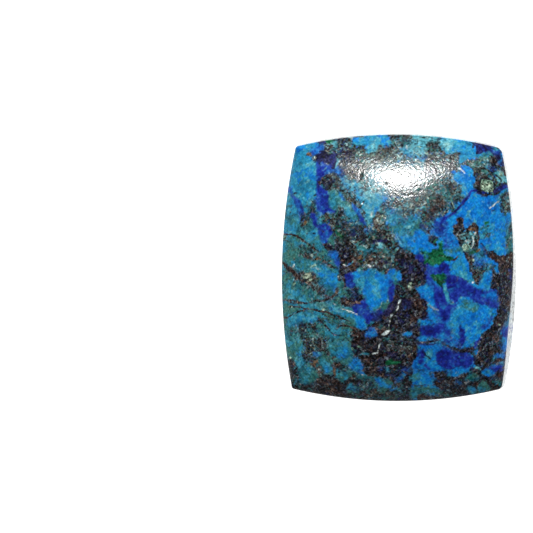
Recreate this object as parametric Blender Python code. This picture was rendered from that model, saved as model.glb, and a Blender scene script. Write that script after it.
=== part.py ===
"""Polished cushion cabochon of azurite with chrysocolla: one solid piece of stone.

The stone lies on its flat back with the dome up. The origin is the middle of the back, +X runs
across the stone, +Y along it and +Z up through the dome.
"""

import math

import bmesh
import bpy
from mathutils import Vector

MM = 0.001

# Driving dimensions, in millimetres, seen from above with +Y up.
# The girdle is the line where the dome meets the wall. Its four sides are shallow arcs.
TOP_LEFT = Vector((-7.30, 8.74))
TOP_RIGHT = Vector((7.51, 8.62))
BOTTOM_RIGHT = Vector((7.59, -8.73))
BOTTOM_LEFT = Vector((-7.59, -8.76))
TOP_BULGE = 0.92
BOTTOM_BULGE = 0.90
SIDE_BULGE = 0.87
# How far from each corner its rounding starts, measured along the sides.
CORNER_ROUNDING = {"top_left": 0.15, "top_right": 0.35, "bottom_right": 0.25, "bottom_left": 0.15}

WALL_HEIGHT = 1.60
DOME_HEIGHT = 2.80
# The wall leans in towards the girdle: a little everywhere and more on the right-hand side,
# most of all along its lower half.
WALL_DRAFT = 0.06
RIGHT_DRAFT = 0.09
LOWER_RIGHT_GRIND = 0.14
GRIND_MIDDLE = -4.6
GRIND_SPREAD = 3.6
# A small flat bevel runs round the back.
BACK_BEVEL = 0.25

# The dome's cross-section is an ellipse that stops short of upright at the girdle.
DOME_FULLNESS = 0.82
# A low number rounds the corner ridges away, and a high one carries them up to the crown.
RIDGE_SHARPNESS = 1.5

CELLS_ACROSS = 40
CELLS_ALONG = 46
WALL_CELLS = 3
# Cells get closer together towards the girdle as this nears 1.
GIRDLE_CROWDING = 0.75

STONE_COLOUR = (0.035, 0.16, 0.30, 1.0)
STONE_ROUGHNESS = 0.3


def clear_scene():
    """Removes the objects that the scene starts with."""
    for obj in list(bpy.data.objects):
        bpy.data.objects.remove(obj)


def arc_point(start, end, bulge, share):
    """The point at this share of a circular arc that rises by bulge to the left of start to end."""
    chord = end - start
    along = chord.normalized()
    outward = Vector((-along.y, along.x))
    half = chord.length / 2
    radius = (half * half + bulge * bulge) / (2 * bulge)
    angle = (2 * share - 1) * math.asin(half / radius)
    middle = (start + end) / 2 + outward * (bulge - radius)
    return middle + along * radius * math.sin(angle) + outward * radius * math.cos(angle)


def cushion_point(u, v):
    """The plan position of place (u, v), each from -1 to 1, blended between the four side arcs."""
    top = arc_point(TOP_LEFT, TOP_RIGHT, TOP_BULGE, (1 + u) / 2)
    right = arc_point(TOP_RIGHT, BOTTOM_RIGHT, SIDE_BULGE, (1 - v) / 2)
    bottom = arc_point(BOTTOM_RIGHT, BOTTOM_LEFT, BOTTOM_BULGE, (1 - u) / 2)
    left = arc_point(BOTTOM_LEFT, TOP_LEFT, SIDE_BULGE, (1 + v) / 2)
    corners = (
        (1 - u) * (1 + v) * TOP_LEFT
        + (1 + u) * (1 + v) * TOP_RIGHT
        + (1 + u) * (1 - v) * BOTTOM_RIGHT
        + (1 - u) * (1 - v) * BOTTOM_LEFT
    )
    across = ((1 - u) * left + (1 + u) * right) / 2
    along = ((1 - v) * bottom + (1 + v) * top) / 2
    return across + along - corners / 4


def corner_shift(u, v):
    """How far the nearest corner's rounding draws place (u, v) in towards the middle."""
    name = ("top" if v > 0 else "bottom") + ("_right" if u > 0 else "_left")
    reach = CORNER_ROUNDING[name]
    from_side = (1 - abs(u)) * TOP_RIGHT.x
    from_end = (1 - abs(v)) * TOP_RIGHT.y
    if max(from_side, from_end) >= reach:
        return Vector((0, 0))
    pull = reach / 4 * ((1 - from_side / reach) * (1 - from_end / reach)) ** 2
    return Vector((-math.copysign(pull, u), -math.copysign(pull, v)))


def dome_profile(share):
    """The dome's height over a section through its crown: 1 in the middle and 0 at the girdle."""
    rim = math.sqrt(1 - DOME_FULLNESS**2)
    return (math.sqrt(1 - (DOME_FULLNESS * share) ** 2) - rim) / (1 - rim)


def dome_height(u, v):
    """The height above the girdle, from two crossed profiles that meet in soft corner ridges."""
    across, along = dome_profile(u), dome_profile(v)
    if min(across, along) <= 0:
        return 0.0
    joined = across**-RIDGE_SHARPNESS + along**-RIDGE_SHARPNESS - 1
    return DOME_HEIGHT * joined ** (-1 / RIDGE_SHARPNESS)


def grind_at(point):
    """How much further in than its arc the girdle was ground, beside this plan position."""
    near = math.exp(-(((point.y - GRIND_MIDDLE) / GRIND_SPREAD) ** 2))
    return LOWER_RIGHT_GRIND * near * max(0.0, point.x / TOP_RIGHT.x) ** 4


def wall_lean(point):
    """How far the foot of the wall stands out from the girdle at this plan position."""
    outward = Vector(((point.x / TOP_RIGHT.x) ** 5, (point.y / TOP_RIGHT.y) ** 5)).normalized()
    extra = RIGHT_DRAFT * max(0.0, outward.x) + grind_at(point)
    return Vector((outward.x * WALL_DRAFT + extra, outward.y * WALL_DRAFT))


def grid_place(number, cells):
    """Turns a grid line's number into its place from -1 to 1."""
    widest = math.pi / 2 * GIRDLE_CROWDING
    return math.sin(widest * (2 * number / cells - 1)) / math.sin(widest)


def raise_dome(mesh):
    """Shapes a flat grid into the dome. Returns the girdle's edges."""
    bmesh.ops.create_grid(mesh, x_segments=CELLS_ACROSS, y_segments=CELLS_ALONG, size=1)
    for vert in mesh.verts:
        u = grid_place(round((vert.co.x + 1) / 2 * CELLS_ACROSS), CELLS_ACROSS)
        v = grid_place(round((vert.co.y + 1) / 2 * CELLS_ALONG), CELLS_ALONG)
        point = cushion_point(u, v) + corner_shift(u, v)
        height = WALL_HEIGHT + dome_height(u, v)
        vert.co = Vector((point.x - grind_at(point), point.y, height)) * MM
    return [edge for edge in mesh.edges if edge.is_boundary]


def extrude_ring(mesh, edges, moves):
    """Extrudes the open edges, each new vertex by its own move. Returns the new open edges."""
    made = bmesh.ops.extrude_edge_only(mesh, edges=edges)["geom"]
    for vert in made:
        if isinstance(vert, bmesh.types.BMVert):
            vert.co += moves(vert.co) * MM
    return [e for e in made if isinstance(e, bmesh.types.BMEdge) and e.is_boundary]


def wall_move(co):
    """One ring's step down the wall and outwards."""
    lean = wall_lean(co.xy / MM)
    return Vector((lean.x, lean.y, BACK_BEVEL - WALL_HEIGHT)) / WALL_CELLS


def bevel_move(co):
    """The step across the back's bevel, in towards the middle and down to the table."""
    inward = -co.xy.normalized() * BACK_BEVEL
    return Vector((inward.x, inward.y, -BACK_BEVEL))


def middle_of(mesh):
    """The middle of the mesh's box in plan, at table height."""
    xs = [vert.co.x for vert in mesh.verts]
    ys = [vert.co.y for vert in mesh.verts]
    return Vector((min(xs) + max(xs), min(ys) + max(ys), 0)) / 2


def build_stone():
    """Makes the stone: dome, wall, bevel and flat back, as one closed solid."""
    mesh = bmesh.new()
    girdle = raise_dome(mesh)
    foot = girdle
    for _ in range(WALL_CELLS):
        foot = extrude_ring(mesh, foot, wall_move)
    back = extrude_ring(mesh, foot, bevel_move)
    bmesh.ops.contextual_create(mesh, geom=back)
    bmesh.ops.recalc_face_normals(mesh, faces=mesh.faces)
    bmesh.ops.translate(mesh, verts=mesh.verts, vec=-middle_of(mesh))
    for face in mesh.faces:
        face.smooth = True
    for edge in girdle + foot + back:
        edge.smooth = False
    data = bpy.data.meshes.new("cabochon")
    mesh.to_mesh(data)
    mesh.free()
    stone = bpy.data.objects.new("cabochon", data)
    bpy.context.scene.collection.objects.link(stone)
    return stone


def stone_material():
    """A plain polished blue that stands for the mixed minerals."""
    material = bpy.data.materials.new("polished_azurite_chrysocolla")
    material.use_nodes = True
    shader = material.node_tree.nodes["Principled BSDF"]
    shader.inputs["Base Color"].default_value = STONE_COLOUR
    shader.inputs["Roughness"].default_value = STONE_ROUGHNESS
    shader.inputs["Metallic"].default_value = 0.0
    return material


clear_scene()
build_stone().data.materials.append(stone_material())
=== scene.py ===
"""Polished cushion cabochon of azurite with chrysocolla, on a pale table in soft light.

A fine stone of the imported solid's shape takes the solid's place. Its minerals are laid out patch by
patch, its pits and cracks are cut into the surface, and each mineral has its own grain and polish.
Sizes are in millimetres, with the dome towards the reader and +Y up, until a mesh is finished.
"""

import logging
import math
from dataclasses import dataclass
from enum import Enum

import bmesh
import bpy
import numpy as np
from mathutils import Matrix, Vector, noise


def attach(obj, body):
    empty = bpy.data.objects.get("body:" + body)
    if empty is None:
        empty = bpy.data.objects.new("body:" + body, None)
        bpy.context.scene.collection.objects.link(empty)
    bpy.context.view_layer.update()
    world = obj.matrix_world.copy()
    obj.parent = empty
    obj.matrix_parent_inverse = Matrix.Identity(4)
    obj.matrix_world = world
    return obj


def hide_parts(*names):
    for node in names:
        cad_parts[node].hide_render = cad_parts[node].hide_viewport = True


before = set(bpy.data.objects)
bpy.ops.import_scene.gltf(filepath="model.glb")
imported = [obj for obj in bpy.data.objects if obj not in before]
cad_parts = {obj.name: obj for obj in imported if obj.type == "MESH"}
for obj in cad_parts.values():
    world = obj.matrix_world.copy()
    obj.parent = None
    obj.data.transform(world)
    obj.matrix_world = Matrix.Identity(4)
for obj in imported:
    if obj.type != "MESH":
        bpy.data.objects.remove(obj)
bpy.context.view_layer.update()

MM = 0.001
# Blender draws its noise from the clock unless it is given a seed.
NOISE_SEED = 2
log = logging.getLogger("cabochon")


class Mineral(Enum):
    """What the stone is made of, by the colour each mineral shows when polished."""

    TEAL = "teal chrysocolla"
    CYAN = "cyan chrysocolla"
    SKY = "sky-blue chrysocolla"
    PALE = "pale chrysocolla"
    BLUE = "azurite thinned with chrysocolla"
    AZURITE = "azurite"
    NAVY = "violet azurite"
    ROCK = "grey speckled matrix"
    DARK = "dark speckled matrix"
    UMBER = "brown matrix"
    GREEN = "malachite"
    RUST = "iron stain"
    CREAM = "cream inclusion"
    # GLINT is a pale crystal filling in cracks and vugs, painted near white so that it also stands for the glints that
    # light strikes off their edges: partly painted highlight.
    GLINT = "bright crystal"
    # BLACK is open cracks and pits. Along the rim and beside the bright crystal chain it is also painted shade.
    BLACK = "open crack"


TEAL, CYAN, SKY, PALE, BLUE, AZURITE, NAVY, ROCK, DARK, UMBER, GREEN, RUST, CREAM, GLINT, BLACK = Mineral


def smooth_step(value: np.ndarray) -> np.ndarray:
    """Eases values from 0 to 1, flat outside that range."""
    held = np.clip(value, 0.0, 1.0)
    return held * held * (3.0 - 2.0 * held)


def line_distance(places: np.ndarray, start: np.ndarray, end: np.ndarray) -> np.ndarray:
    """Distance from each place to one straight piece of a line.

    Args:
        places: plan positions, one a row.
        start: where the piece starts.
        end: where it ends.

    Returns:
        One distance for each place.
    """
    along = end - start
    share = np.clip((places - start) @ along / max(along @ along, 1e-9), 0.0, 1.0)
    return np.linalg.norm(places - start - share[:, None] * along, axis=1)


def eased_points(points: np.ndarray, closed: bool) -> np.ndarray:
    """Rounds a drawn line by setting two eased points between each pair of its own.

    Args:
        points: the drawn points, one a row.
        closed: whether the last point runs back to the first.

    Returns:
        The points of the rounded line.
    """
    count = len(points)
    if count < 3:
        return points
    if closed:
        before, after, far = (np.roll(points, step, axis=0) for step in (1, -1, -2))
    else:
        before = np.vstack([points[:1], points[:-1]])
        after = np.vstack([points[1:], points[-1:]])
        far = np.vstack([points[2:], points[-1:], points[-1:]])
    rows = []
    for share in (0.0, 1 / 3, 2 / 3):
        a = -0.5 * share + share**2 - 0.5 * share**3
        b = 1.0 - 2.5 * share**2 + 1.5 * share**3
        c = 0.5 * share + 2.0 * share**2 - 1.5 * share**3
        d = -0.5 * share**2 + 0.5 * share**3
        rows.append(a * before + b * points + c * after + d * far)
    eased = np.stack(rows, axis=1).reshape(-1, 2)
    return eased if closed else eased[: 3 * (count - 1) + 1]


@dataclass(frozen=True)
class Patch:
    """A body of one mineral with a drawn outline."""

    mineral: Mineral
    outline: tuple[float, ...]
    soft: float = 0.07
    ragged: float = 0.12
    cover: float = 1.0
    speckle: float = 0.0
    cut: float = 0.0

    def points(self) -> np.ndarray:
        """The outline's points, one a row."""
        return eased_points(np.array(self.outline, float).reshape(-1, 2), True)

    def reach(self) -> float:
        """How far outside the outline the mineral can still show."""
        return 3.2 * self.soft + 2 * self.ragged

    def inside(self, places: np.ndarray) -> np.ndarray:
        """Depth inside the outline, which is negative outside it."""
        points = self.points()
        nearest = np.full(len(places), 1e9)
        crossings = np.zeros(len(places), bool)
        for start, end in zip(points, np.roll(points, -1, axis=0)):
            nearest = np.minimum(nearest, line_distance(places, start, end))
            spans = (start[1] > places[:, 1]) != (end[1] > places[:, 1])
            rise = end[1] - start[1] if end[1] != start[1] else 1e-9
            meets = start[0] + (places[:, 1] - start[1]) * (end[0] - start[0]) / rise
            crossings ^= spans & (places[:, 0] < meets)
        return np.where(crossings, nearest, -nearest)


@dataclass(frozen=True)
class Vein:
    """A thin run of one mineral along a drawn line, slimmer towards its ends."""

    mineral: Mineral
    line: tuple[float, ...]
    width: float
    soft: float = 0.04
    ragged: float = 0.05
    cover: float = 1.0
    speckle: float = 0.0
    cut: float = 0.0

    def points(self) -> np.ndarray:
        """The line's points, one a row."""
        return eased_points(np.array(self.line, float).reshape(-1, 2), False)

    def reach(self) -> float:
        """How far from the line the mineral can still show."""
        return self.width / 2 + self.soft + 2 * self.ragged

    def inside(self, places: np.ndarray) -> np.ndarray:
        """Depth inside the vein's wall, which is negative outside it."""
        points = self.points()
        pieces = len(points) - 1
        best = np.full(len(places), -1e9)
        for number in range(pieces):
            share = (number + 0.5) / pieces
            half = self.width * (0.3 + 0.2 * math.sin(math.pi * share) ** 0.5)
            away = line_distance(places, points[number], points[number + 1])
            best = np.maximum(best, half - away)
        return best


@dataclass(frozen=True)
class Spot:
    """A small oval of one mineral, turned by so many degrees anticlockwise."""

    mineral: Mineral
    centre: tuple[float, float]
    length: float
    breadth: float
    turn: float = 0.0
    soft: float = 0.04
    ragged: float = 0.04
    cover: float = 1.0
    speckle: float = 0.0
    cut: float = 0.0

    def points(self) -> np.ndarray:
        """The two ends of the oval, one a row."""
        angle = math.radians(self.turn)
        half = np.array([math.cos(angle), math.sin(angle)]) * self.length / 2
        return np.array([self.centre - half, self.centre + half])

    def reach(self) -> float:
        """How far outside the ends the mineral can still show."""
        return self.breadth / 2 + self.soft + 2 * self.ragged

    def inside(self, places: np.ndarray) -> np.ndarray:
        """Depth inside the oval, which is negative outside it."""
        angle = math.radians(self.turn)
        away = places - np.array(self.centre)
        along = away[:, 0] * math.cos(angle) + away[:, 1] * math.sin(angle)
        across = away[:, 1] * math.cos(angle) - away[:, 0] * math.sin(angle)
        share = np.hypot(along / (self.length / 2), across / (self.breadth / 2))
        return (1.0 - share) * self.breadth / 2


GROUND = (
    Patch(SKY, (2.2, 6.0, 4.6, 10.5, 9.5, 10.5, 9.5, -10.5, 1.2, -10.5, 1.5, -4.0, 2.0, 0.5), 0.3, 0.3),
    Patch(CYAN, (-9, 10, -5.4, 10, -5.7, 7, -5.8, 4.4, -7.0, 3.4, -7.6, 2.6, -9, 3.0), 0.3, 0.2),
)

UPPER_LEFT = (
    Patch(ROCK, (-5.6, 8.9, -5.2, 10, 2.8, 10.2, 3.2, 7, 1.5, 4, -1.5, 3.4, -4, 3, -5, 5.2, -5.4, 7), 0.1, 0.2),
    Patch(CYAN, (-9, 9.5, -7.0, 9.6, -5.7, 9.4, -5.85, 8.7, -6.2, 8.1, -5.9, 7.7, -5.85, 6.4, -5.9, 4.9,
                 -6.5, 4.7, -7.2, 5.2, -7.9, 6.0, -9, 6.5)),
    Patch(SKY, (-7.7, 9.2, -6.0, 9.5, -5.6, 9.1, -6.0, 8.6, -6.6, 8.3, -6.9, 7.4, -7.5, 6.9, -8.1, 7.4),
          0.2, 0.25, 0.3),
    Patch(CYAN, (-6.5, 7.9, -6.1, 7.9, -6.0, 7.2, -6.4, 7.0), 0.1, 0.15, 0.8),
    Patch(SKY, (-6.4, 7.7, -6.0, 7.6, -5.9, 6.3, -6.1, 5.4, -6.6, 5.4, -6.2, 6.4), 0.15, 0.15, 0.25),
    Patch(BLUE, (-6.2, 8.6, -5.6, 8.95, -5.35, 8.9, -5.3, 8.5, -5.6, 8.25, -6.1, 8.25), 0.1, 0.15),
    Patch(NAVY, (-5.7, 9.3, -5.2, 9.4, -5.1, 9.05, -5.35, 8.95, -5.65, 8.95)),
    Patch(GREEN, (-5.3, 9.05, -5.25, 9.5, -4.4, 9.6, -4.6, 9.1, -4.95, 8.93), 0.06, 0.08),
    Patch(UMBER, (-5.3, 8.95, -4.95, 8.9, -4.85, 8.5, -5.2, 8.5), 0.08, 0.12, 0.8),
    Patch(PALE, (-4.75, 9.0, -4.35, 9.25, -4.35, 8.85, -4.5, 8.6), 0.08, 0.1, 0.75),
    Patch(NAVY, (-5.85, 8.0, -5.6, 8.35, -5.15, 8.4, -4.85, 8.1, -4.8, 7.7, -5.1, 7.4, -5.5, 7.6, -5.75, 7.7)),
    Patch(DARK, (-5.5, 8.25, -5.2, 8.3, -4.95, 8.0, -4.95, 7.6, -5.2, 7.5, -5.45, 7.8), 0.08, 0.15, 0.25),
    Patch(AZURITE, (-5.85, 7.6, -5.4, 7.55, -5.0, 7.35, -4.95, 6.9, -5.25, 6.55, -5.6, 6.25, -5.5, 5.9,
                    -5.15, 5.6, -4.95, 5.45, -4.85, 5.1, -4.8, 4.5, -4.5, 4.15, -4.6, 3.85, -5.2, 3.85,
                    -5.6, 3.75, -5.8, 4.4, -5.88, 5.0, -5.88, 5.8, -5.85, 6.6), 0.07, 0.09),
    Patch(BLUE, (-5.0, 7.35, -4.3, 7.25, -4.0, 7.0, -3.85, 6.3, -4.2, 6.4, -4.5, 6.8, -5.1, 6.8), 0.12, 0.16),
    Patch(BLUE, (-5.75, 5.3, -5.3, 5.2, -5.0, 4.6, -5.2, 4.3, -5.7, 4.6), 0.15, 0.15, 0.45),
    Patch(NAVY, (-4.9, 8.15, -4.5, 8.25, -4.38, 7.9, -4.42, 7.35, -4.62, 7.25, -4.85, 7.6), 0.06, 0.1),
    Patch(AZURITE, (-4.85, 8.0, -4.5, 8.0, -4.5, 7.5, -4.7, 7.5), 0.08, 0.1, 0.7),
    Vein(PALE, (-4.42, 8.0, -4.36, 7.6, -4.44, 7.2), 0.13, cover=0.7),
    Vein(PALE, (-5.35, 7.0, -5.1, 7.2), 0.1, cover=0.5),
    Patch(DARK, (-5.5, 6.4, -5.2, 6.68, -4.7, 6.72, -4.3, 6.62, -4.05, 6.4, -4.15, 6.1, -4.6, 6.1, -4.85, 5.9,
                 -5.1, 5.5, -5.4, 5.8, -5.6, 6.1), 0.07, 0.14, 0.9),
    Patch(ROCK, (-4.9, 6.5, -4.3, 6.6, -4.1, 6.3, -4.6, 6.15), 0.1, 0.15, 0.5),
    Patch(DARK, (-4.9, 6.0, -4.4, 6.1, -3.9, 6.0, -3.85, 5.5, -4.3, 5.6, -4.8, 5.55), 0.1, 0.15, 0.75),
    Patch(CYAN, (-4.1, 6.6, -3.6, 6.2, -3.0, 6.1, -2.7, 5.5, -2.8, 5.0, -3.3, 5.3, -3.8, 5.5, -4.0, 6.0),
          0.15, 0.2, 0.65, 0.3),
    Patch(CYAN, (-3.0, 6.1, -2.4, 5.6, -1.2, 5.5, -0.5, 5.2, -0.5, 4.7, -1.1, 4.4, -1.5, 4.1, -1.65, 3.6,
                -1.95, 3.35, -2.15, 3.9, -2.4, 4.2, -2.9, 4.25, -3.15, 4.6, -2.7, 5.0, -2.9, 5.6), 0.1, 0.2),
    Patch(SKY, (-2.3, 5.2, -1.7, 5.3, -1.2, 4.8, -1.4, 4.1, -1.9, 3.8, -2.2, 4.4), 0.15, 0.25, 0.5),
    Patch(SKY, (-3.15, 5.85, -2.85, 5.8, -2.6, 5.0, -2.85, 4.85), 0.1, 0.15, 0.6),
    # Partly painted highlight haze: pale chrysocolla below left of the highlight, laid paler and speckled where the
    # highlight's haze falls.
    Patch(PALE, (-2.7, 5.9, -0.6, 5.7, -0.5, 4.9, -1.4, 4.6, -2.4, 5.0), 0.15, 0.3, 0.4, 0.5),
    Patch(ROCK, (-2.9, 5.9, -2.0, 6.0, -0.4, 5.8, -0.6, 5.3, -1.5, 5.4, -1.9, 5.1, -2.5, 5.2), 0.15, 0.25, 0.5, 0.5),
    Patch(ROCK, (-1.2, 5.2, -0.5, 5.2, -0.4, 4.5, -1.0, 4.3), 0.15, 0.25, 0.4, 0.5),
    Patch(TEAL, (-4.88, 5.5, -4.4, 5.55, -4.0, 5.3, -3.7, 4.9, -3.3, 4.4, -2.95, 3.9, -2.9, 3.3, -3.3, 3.1,
                 -3.55, 3.6, -3.8, 4.2, -4.3, 4.3, -4.6, 4.2, -4.85, 4.6), 0.1, 0.13),
    Patch(PALE, (-4.6, 5.4, -4.2, 5.3, -3.6, 4.7, -3.2, 4.2, -3.2, 3.7, -3.6, 4.1, -4.2, 4.5, -4.6, 4.9),
          0.15, 0.2, 0.4),
    Patch(ROCK, (-3.95, 5.45, -3.5, 5.25, -3.1, 4.95, -2.6, 4.7, -2.55, 4.35, -3.1, 4.4, -3.5, 4.75), 0.08, 0.14),
    Patch(UMBER, (-3.6, 5.1, -3.2, 4.9, -3.2, 4.6, -3.5, 4.7), 0.1, 0.15, 0.5),
    Vein(BLUE, (-4.2, 5.4, -4.0, 5.1, -3.9, 4.9), 0.2, 0.08, 0.08, 0.7),
    Vein(BLUE, (-3.15, 4.4, -2.85, 3.95, -2.55, 3.5, -2.35, 3.15), 0.34, 0.08, 0.12, 0.7),
    Vein(AZURITE, (-3.0, 4.2, -2.8, 3.9, -2.55, 3.5, -2.35, 3.15), 0.14, 0.08, 0.08, 0.7),
    Vein(AZURITE, (-8.1, 6.0, -7.85, 5.6, -7.55, 5.1, -7.2, 4.75, -7.0, 4.4, -6.88, 3.95, -6.95, 3.5),
         0.34, 0.08, 0.08, 0.75),
    Vein(BLUE, (-7.4, 4.9, -7.05, 4.4, -6.95, 3.9, -7.05, 3.4), 0.5, 0.1, 0.1, 0.65),
    Patch(DARK, (-6.65, 4.5, -6.05, 4.65, -5.8, 4.2, -5.7, 3.75, -6.2, 3.8, -6.6, 3.6, -7.0, 3.2, -6.85, 3.75,
                 -6.55, 4.1), 0.1, 0.14, 0.7),
    Patch(ROCK, (-6.3, 5.0, -5.95, 4.95, -5.85, 4.5, -6.2, 4.45), 0.1, 0.1, 0.7),
    Patch(TEAL, (-8.3, 5.2, -7.9, 5.3, -7.6, 4.6, -7.4, 4.0, -7.3, 3.2, -8.6, 3.2), 0.2, 0.2, 0.8),
    Spot(UMBER, (-6.38, 8.2), 0.36, 0.3, -10, 0.06, 0.1, 0.8),
    Spot(RUST, (-6.4, 8.22), 0.24, 0.14, -10, 0.05, 0.06, 0.7),
    Spot(ROCK, (-6.0, 7.88), 0.5, 0.4, 60, 0.08, 0.1, 0.8),
    Spot(BLACK, (-5.95, 5.22), 0.17, 0.13, 0, cut=0.03),
    Spot(ROCK, (-7.35, 5.35), 0.3, 0.24, 0, 0.08, 0.1, 0.8),
    Spot(ROCK, (-6.9, 7.4), 0.2, 0.2, 0, 0.1, 0.06, 0.4),
    Spot(PALE, (-6.45, 7.42), 0.3, 0.22, 30, 0.1, 0.05, 0.8),
    Spot(PALE, (-6.14, 7.58), 0.16, 0.16, 0, 0.08, 0.03, 0.8),
    Spot(PALE, (-6.6, 6.12), 0.35, 0.16, 35, 0.08, 0.06, 0.7),
    Spot(PALE, (-6.4, 6.28), 0.22, 0.14, 20, 0.08, 0.04, 0.6),
    Spot(PALE, (-6.3, 5.7), 0.3, 0.2, 20, 0.1, 0.05, 0.4),
    Spot(DARK, (-7.75, 4.45), 0.3, 0.2, 30, 0.08, 0.05, 0.7),
    Spot(ROCK, (-7.75, 4.05), 0.16, 0.16, 0, 0.06, 0.04, 0.6),
    Patch(CYAN, (-3.3, 9.05, -3.0, 9.4, -2.4, 9.5, -2.1, 9.8, -0.9, 9.8, -0.65, 9.3, -0.5, 9.0, -0.7, 8.78,
                -1.0, 8.78, -1.35, 8.75, -1.5, 8.5, -1.8, 8.3, -2.1, 8.2, -2.3, 8.5, -2.25, 8.75, -2.9, 8.85)),
    Patch(SKY, (-3.2, 9.1, -2.4, 9.5, -1.0, 9.8, -0.7, 9.3, -1.4, 9.0, -2.2, 8.8), 0.2, 0.3, 0.45),
    Patch(PALE, (-2.2, 8.9, -1.5, 9.3, -1.2, 9.0, -1.6, 8.4, -2.1, 8.3), 0.15, 0.25, 0.4),
    Spot(PALE, (-1.75, 8.7), 0.5, 0.35, -10, 0.12, 0.08, 0.7),
    Spot(BLACK, (-1.25, 8.82), 0.22, 0.12, 0, cover=0.8),
    # Painted shade: a thin dark line along the top of the rim, where the dome turns away from the light.
    Spot(DARK, (-2.8, 9.5), 1.1, 0.14, 3),
    Patch(DARK, (-0.9, 9.85, 0.9, 9.85, 0.95, 9.1, 1.1, 8.8, 0.8, 8.7, 0.5, 8.8, 0.1, 8.9, -0.3, 8.95, -0.6, 9.2),
          0.1, 0.18, 0.4),
    Patch(UMBER, (-0.4, 9.3, 0.6, 9.3, 1.0, 8.9, 0.3, 8.8, -0.2, 8.4, -0.6, 8.7), 0.12, 0.2, 0.45, 0.3),
    Patch(PALE, (0.9, 9.8, 1.4, 9.8, 2.0, 9.7, 3.0, 9.6, 2.9, 9.0, 2.3, 9.0, 2.1, 8.6, 2.0, 8.2, 1.5, 8.1,
                 0.8, 8.1, 0.3, 8.3, 0.4, 8.6, 0.9, 8.75, 1.2, 8.95), 0.1, 0.15, 0.75),
    Patch(CYAN, (1.0, 9.3, 2.2, 9.2, 2.0, 8.3, 1.0, 8.2, 0.9, 8.8), 0.2, 0.2, 0.5, 0.3),
    Patch(BLUE, (0.4, 8.65, 0.6, 8.65, 0.6, 8.2, 0.35, 8.15), 0.15, 0.15, 0.7),
    Spot(UMBER, (1.9, 9.43), 0.7, 0.1, -3, cover=0.7),
    Spot(DARK, (2.5, 9.38), 0.4, 0.1, -8, cover=0.6),
    Patch(BLUE, (1.6, 8.1, 2.25, 8.15, 2.15, 7.75, 1.6, 7.7), 0.1, 0.15, 0.8),
    Vein(CREAM, (2.0, 8.25, 2.2, 8.15), 0.1),
    Vein(CREAM, (2.35, 8.0, 2.5, 7.8), 0.1),
    Vein(CREAM, (1.4, 8.72, 1.62, 8.68), 0.12),
    Vein(CREAM, (1.38, 8.22, 1.65, 8.1), 0.1),
    Patch(UMBER, (-2.2, 8.2, -1.0, 8.75, -0.3, 8.6, 0.2, 8.4, 0.2, 8.0, -0.5, 7.7, -1.5, 7.7, -2.2, 7.8),
          0.15, 0.2, 0.3, 0.4),
    # Partly painted highlight haze: thin speckled cream over the upper rim of the highlight, partly cream flecks and
    # partly the highlight's haze.
    Patch(CREAM, (-2.4, 7.9, -1.2, 8.5, -0.2, 8.4, 0.4, 8.0, 2.4, 8.2, 3.2, 7.6, 3.0, 6.9, -2.3, 6.9), 0.2, 0.4,
          0.3, 0.5),
    Patch(CYAN, (0.6, 8.3, 1.6, 8.3, 2.4, 8.0, 3.0, 7.4, 2.2, 7.2, 0.9, 7.6), 0.2, 0.3, 0.5, 0.4),
    Patch(NAVY, (-4.5, 9.2, -3.7, 9.1, -3.3, 8.3, -3.5, 7.4, -3.9, 6.6, -4.4, 7.0), 0.2, 0.3, 0.5, 0.6),
    # Painted shade: a dark band along the top edge of the rim, where the dome turns away from the light.
    Patch(DARK, (-5.1, 9.25, -4.0, 9.35, -2.8, 9.5, -2.7, 9.9, -5.4, 9.8), 0.08, 0.12, 0.8),
    Patch(CYAN, (-2.4, 7.5, -1.7, 7.9, -0.8, 7.8, -0.2, 8.2, 0.5, 7.9, 0.2, 7.2, -1.6, 7.0), 0.2, 0.3, 0.35, 0.6),
    Patch(UMBER, (-2.0, 7.9, -1.2, 8.3, -0.6, 8.2, -1.0, 7.8, -1.8, 7.4), 0.15, 0.25, 0.4, 0.5),
    Patch(UMBER, (-3.7, 7.2, -3.1, 7.5, -2.6, 7.2, -2.5, 6.8, -2.9, 6.4, -3.5, 6.5), 0.15, 0.2, 0.5, 0.4),
    Patch(RUST, (-3.3, 7.0, -2.8, 7.1, -2.6, 6.8, -3.1, 6.7), 0.12, 0.2, 0.35, 0.3),
    Patch(PALE, (-2.3, 6.8, -1.2, 6.8, -1.0, 5.9, -1.6, 5.6, -2.2, 6.0), 0.15, 0.3, 0.45, 0.5),
    Patch(PALE, (-4.0, 6.5, -3.0, 6.3, -2.7, 5.6, -3.0, 5.4, -3.7, 5.6), 0.15, 0.3, 0.35, 0.4),
    Patch(ROCK, (2.2, 8.9, 3.0, 8.95, 3.1, 8.4, 3.4, 8.2, 4.4, 8.4, 4.5, 7.6, 4.3, 6.9, 2.6, 6.9, 2.0, 7.5,
                 2.1, 8.1), 0.1, 0.15),
    Patch(DARK, (2.3, 8.9, 3.0, 8.9, 3.0, 8.3, 2.7, 8.0, 2.3, 7.9), 0.12, 0.2, 0.6, 0.3),
    Spot(GREEN, (2.5, 8.45), 0.35, 0.2, 20, 0.08, 0.1, 0.6),
)

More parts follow.
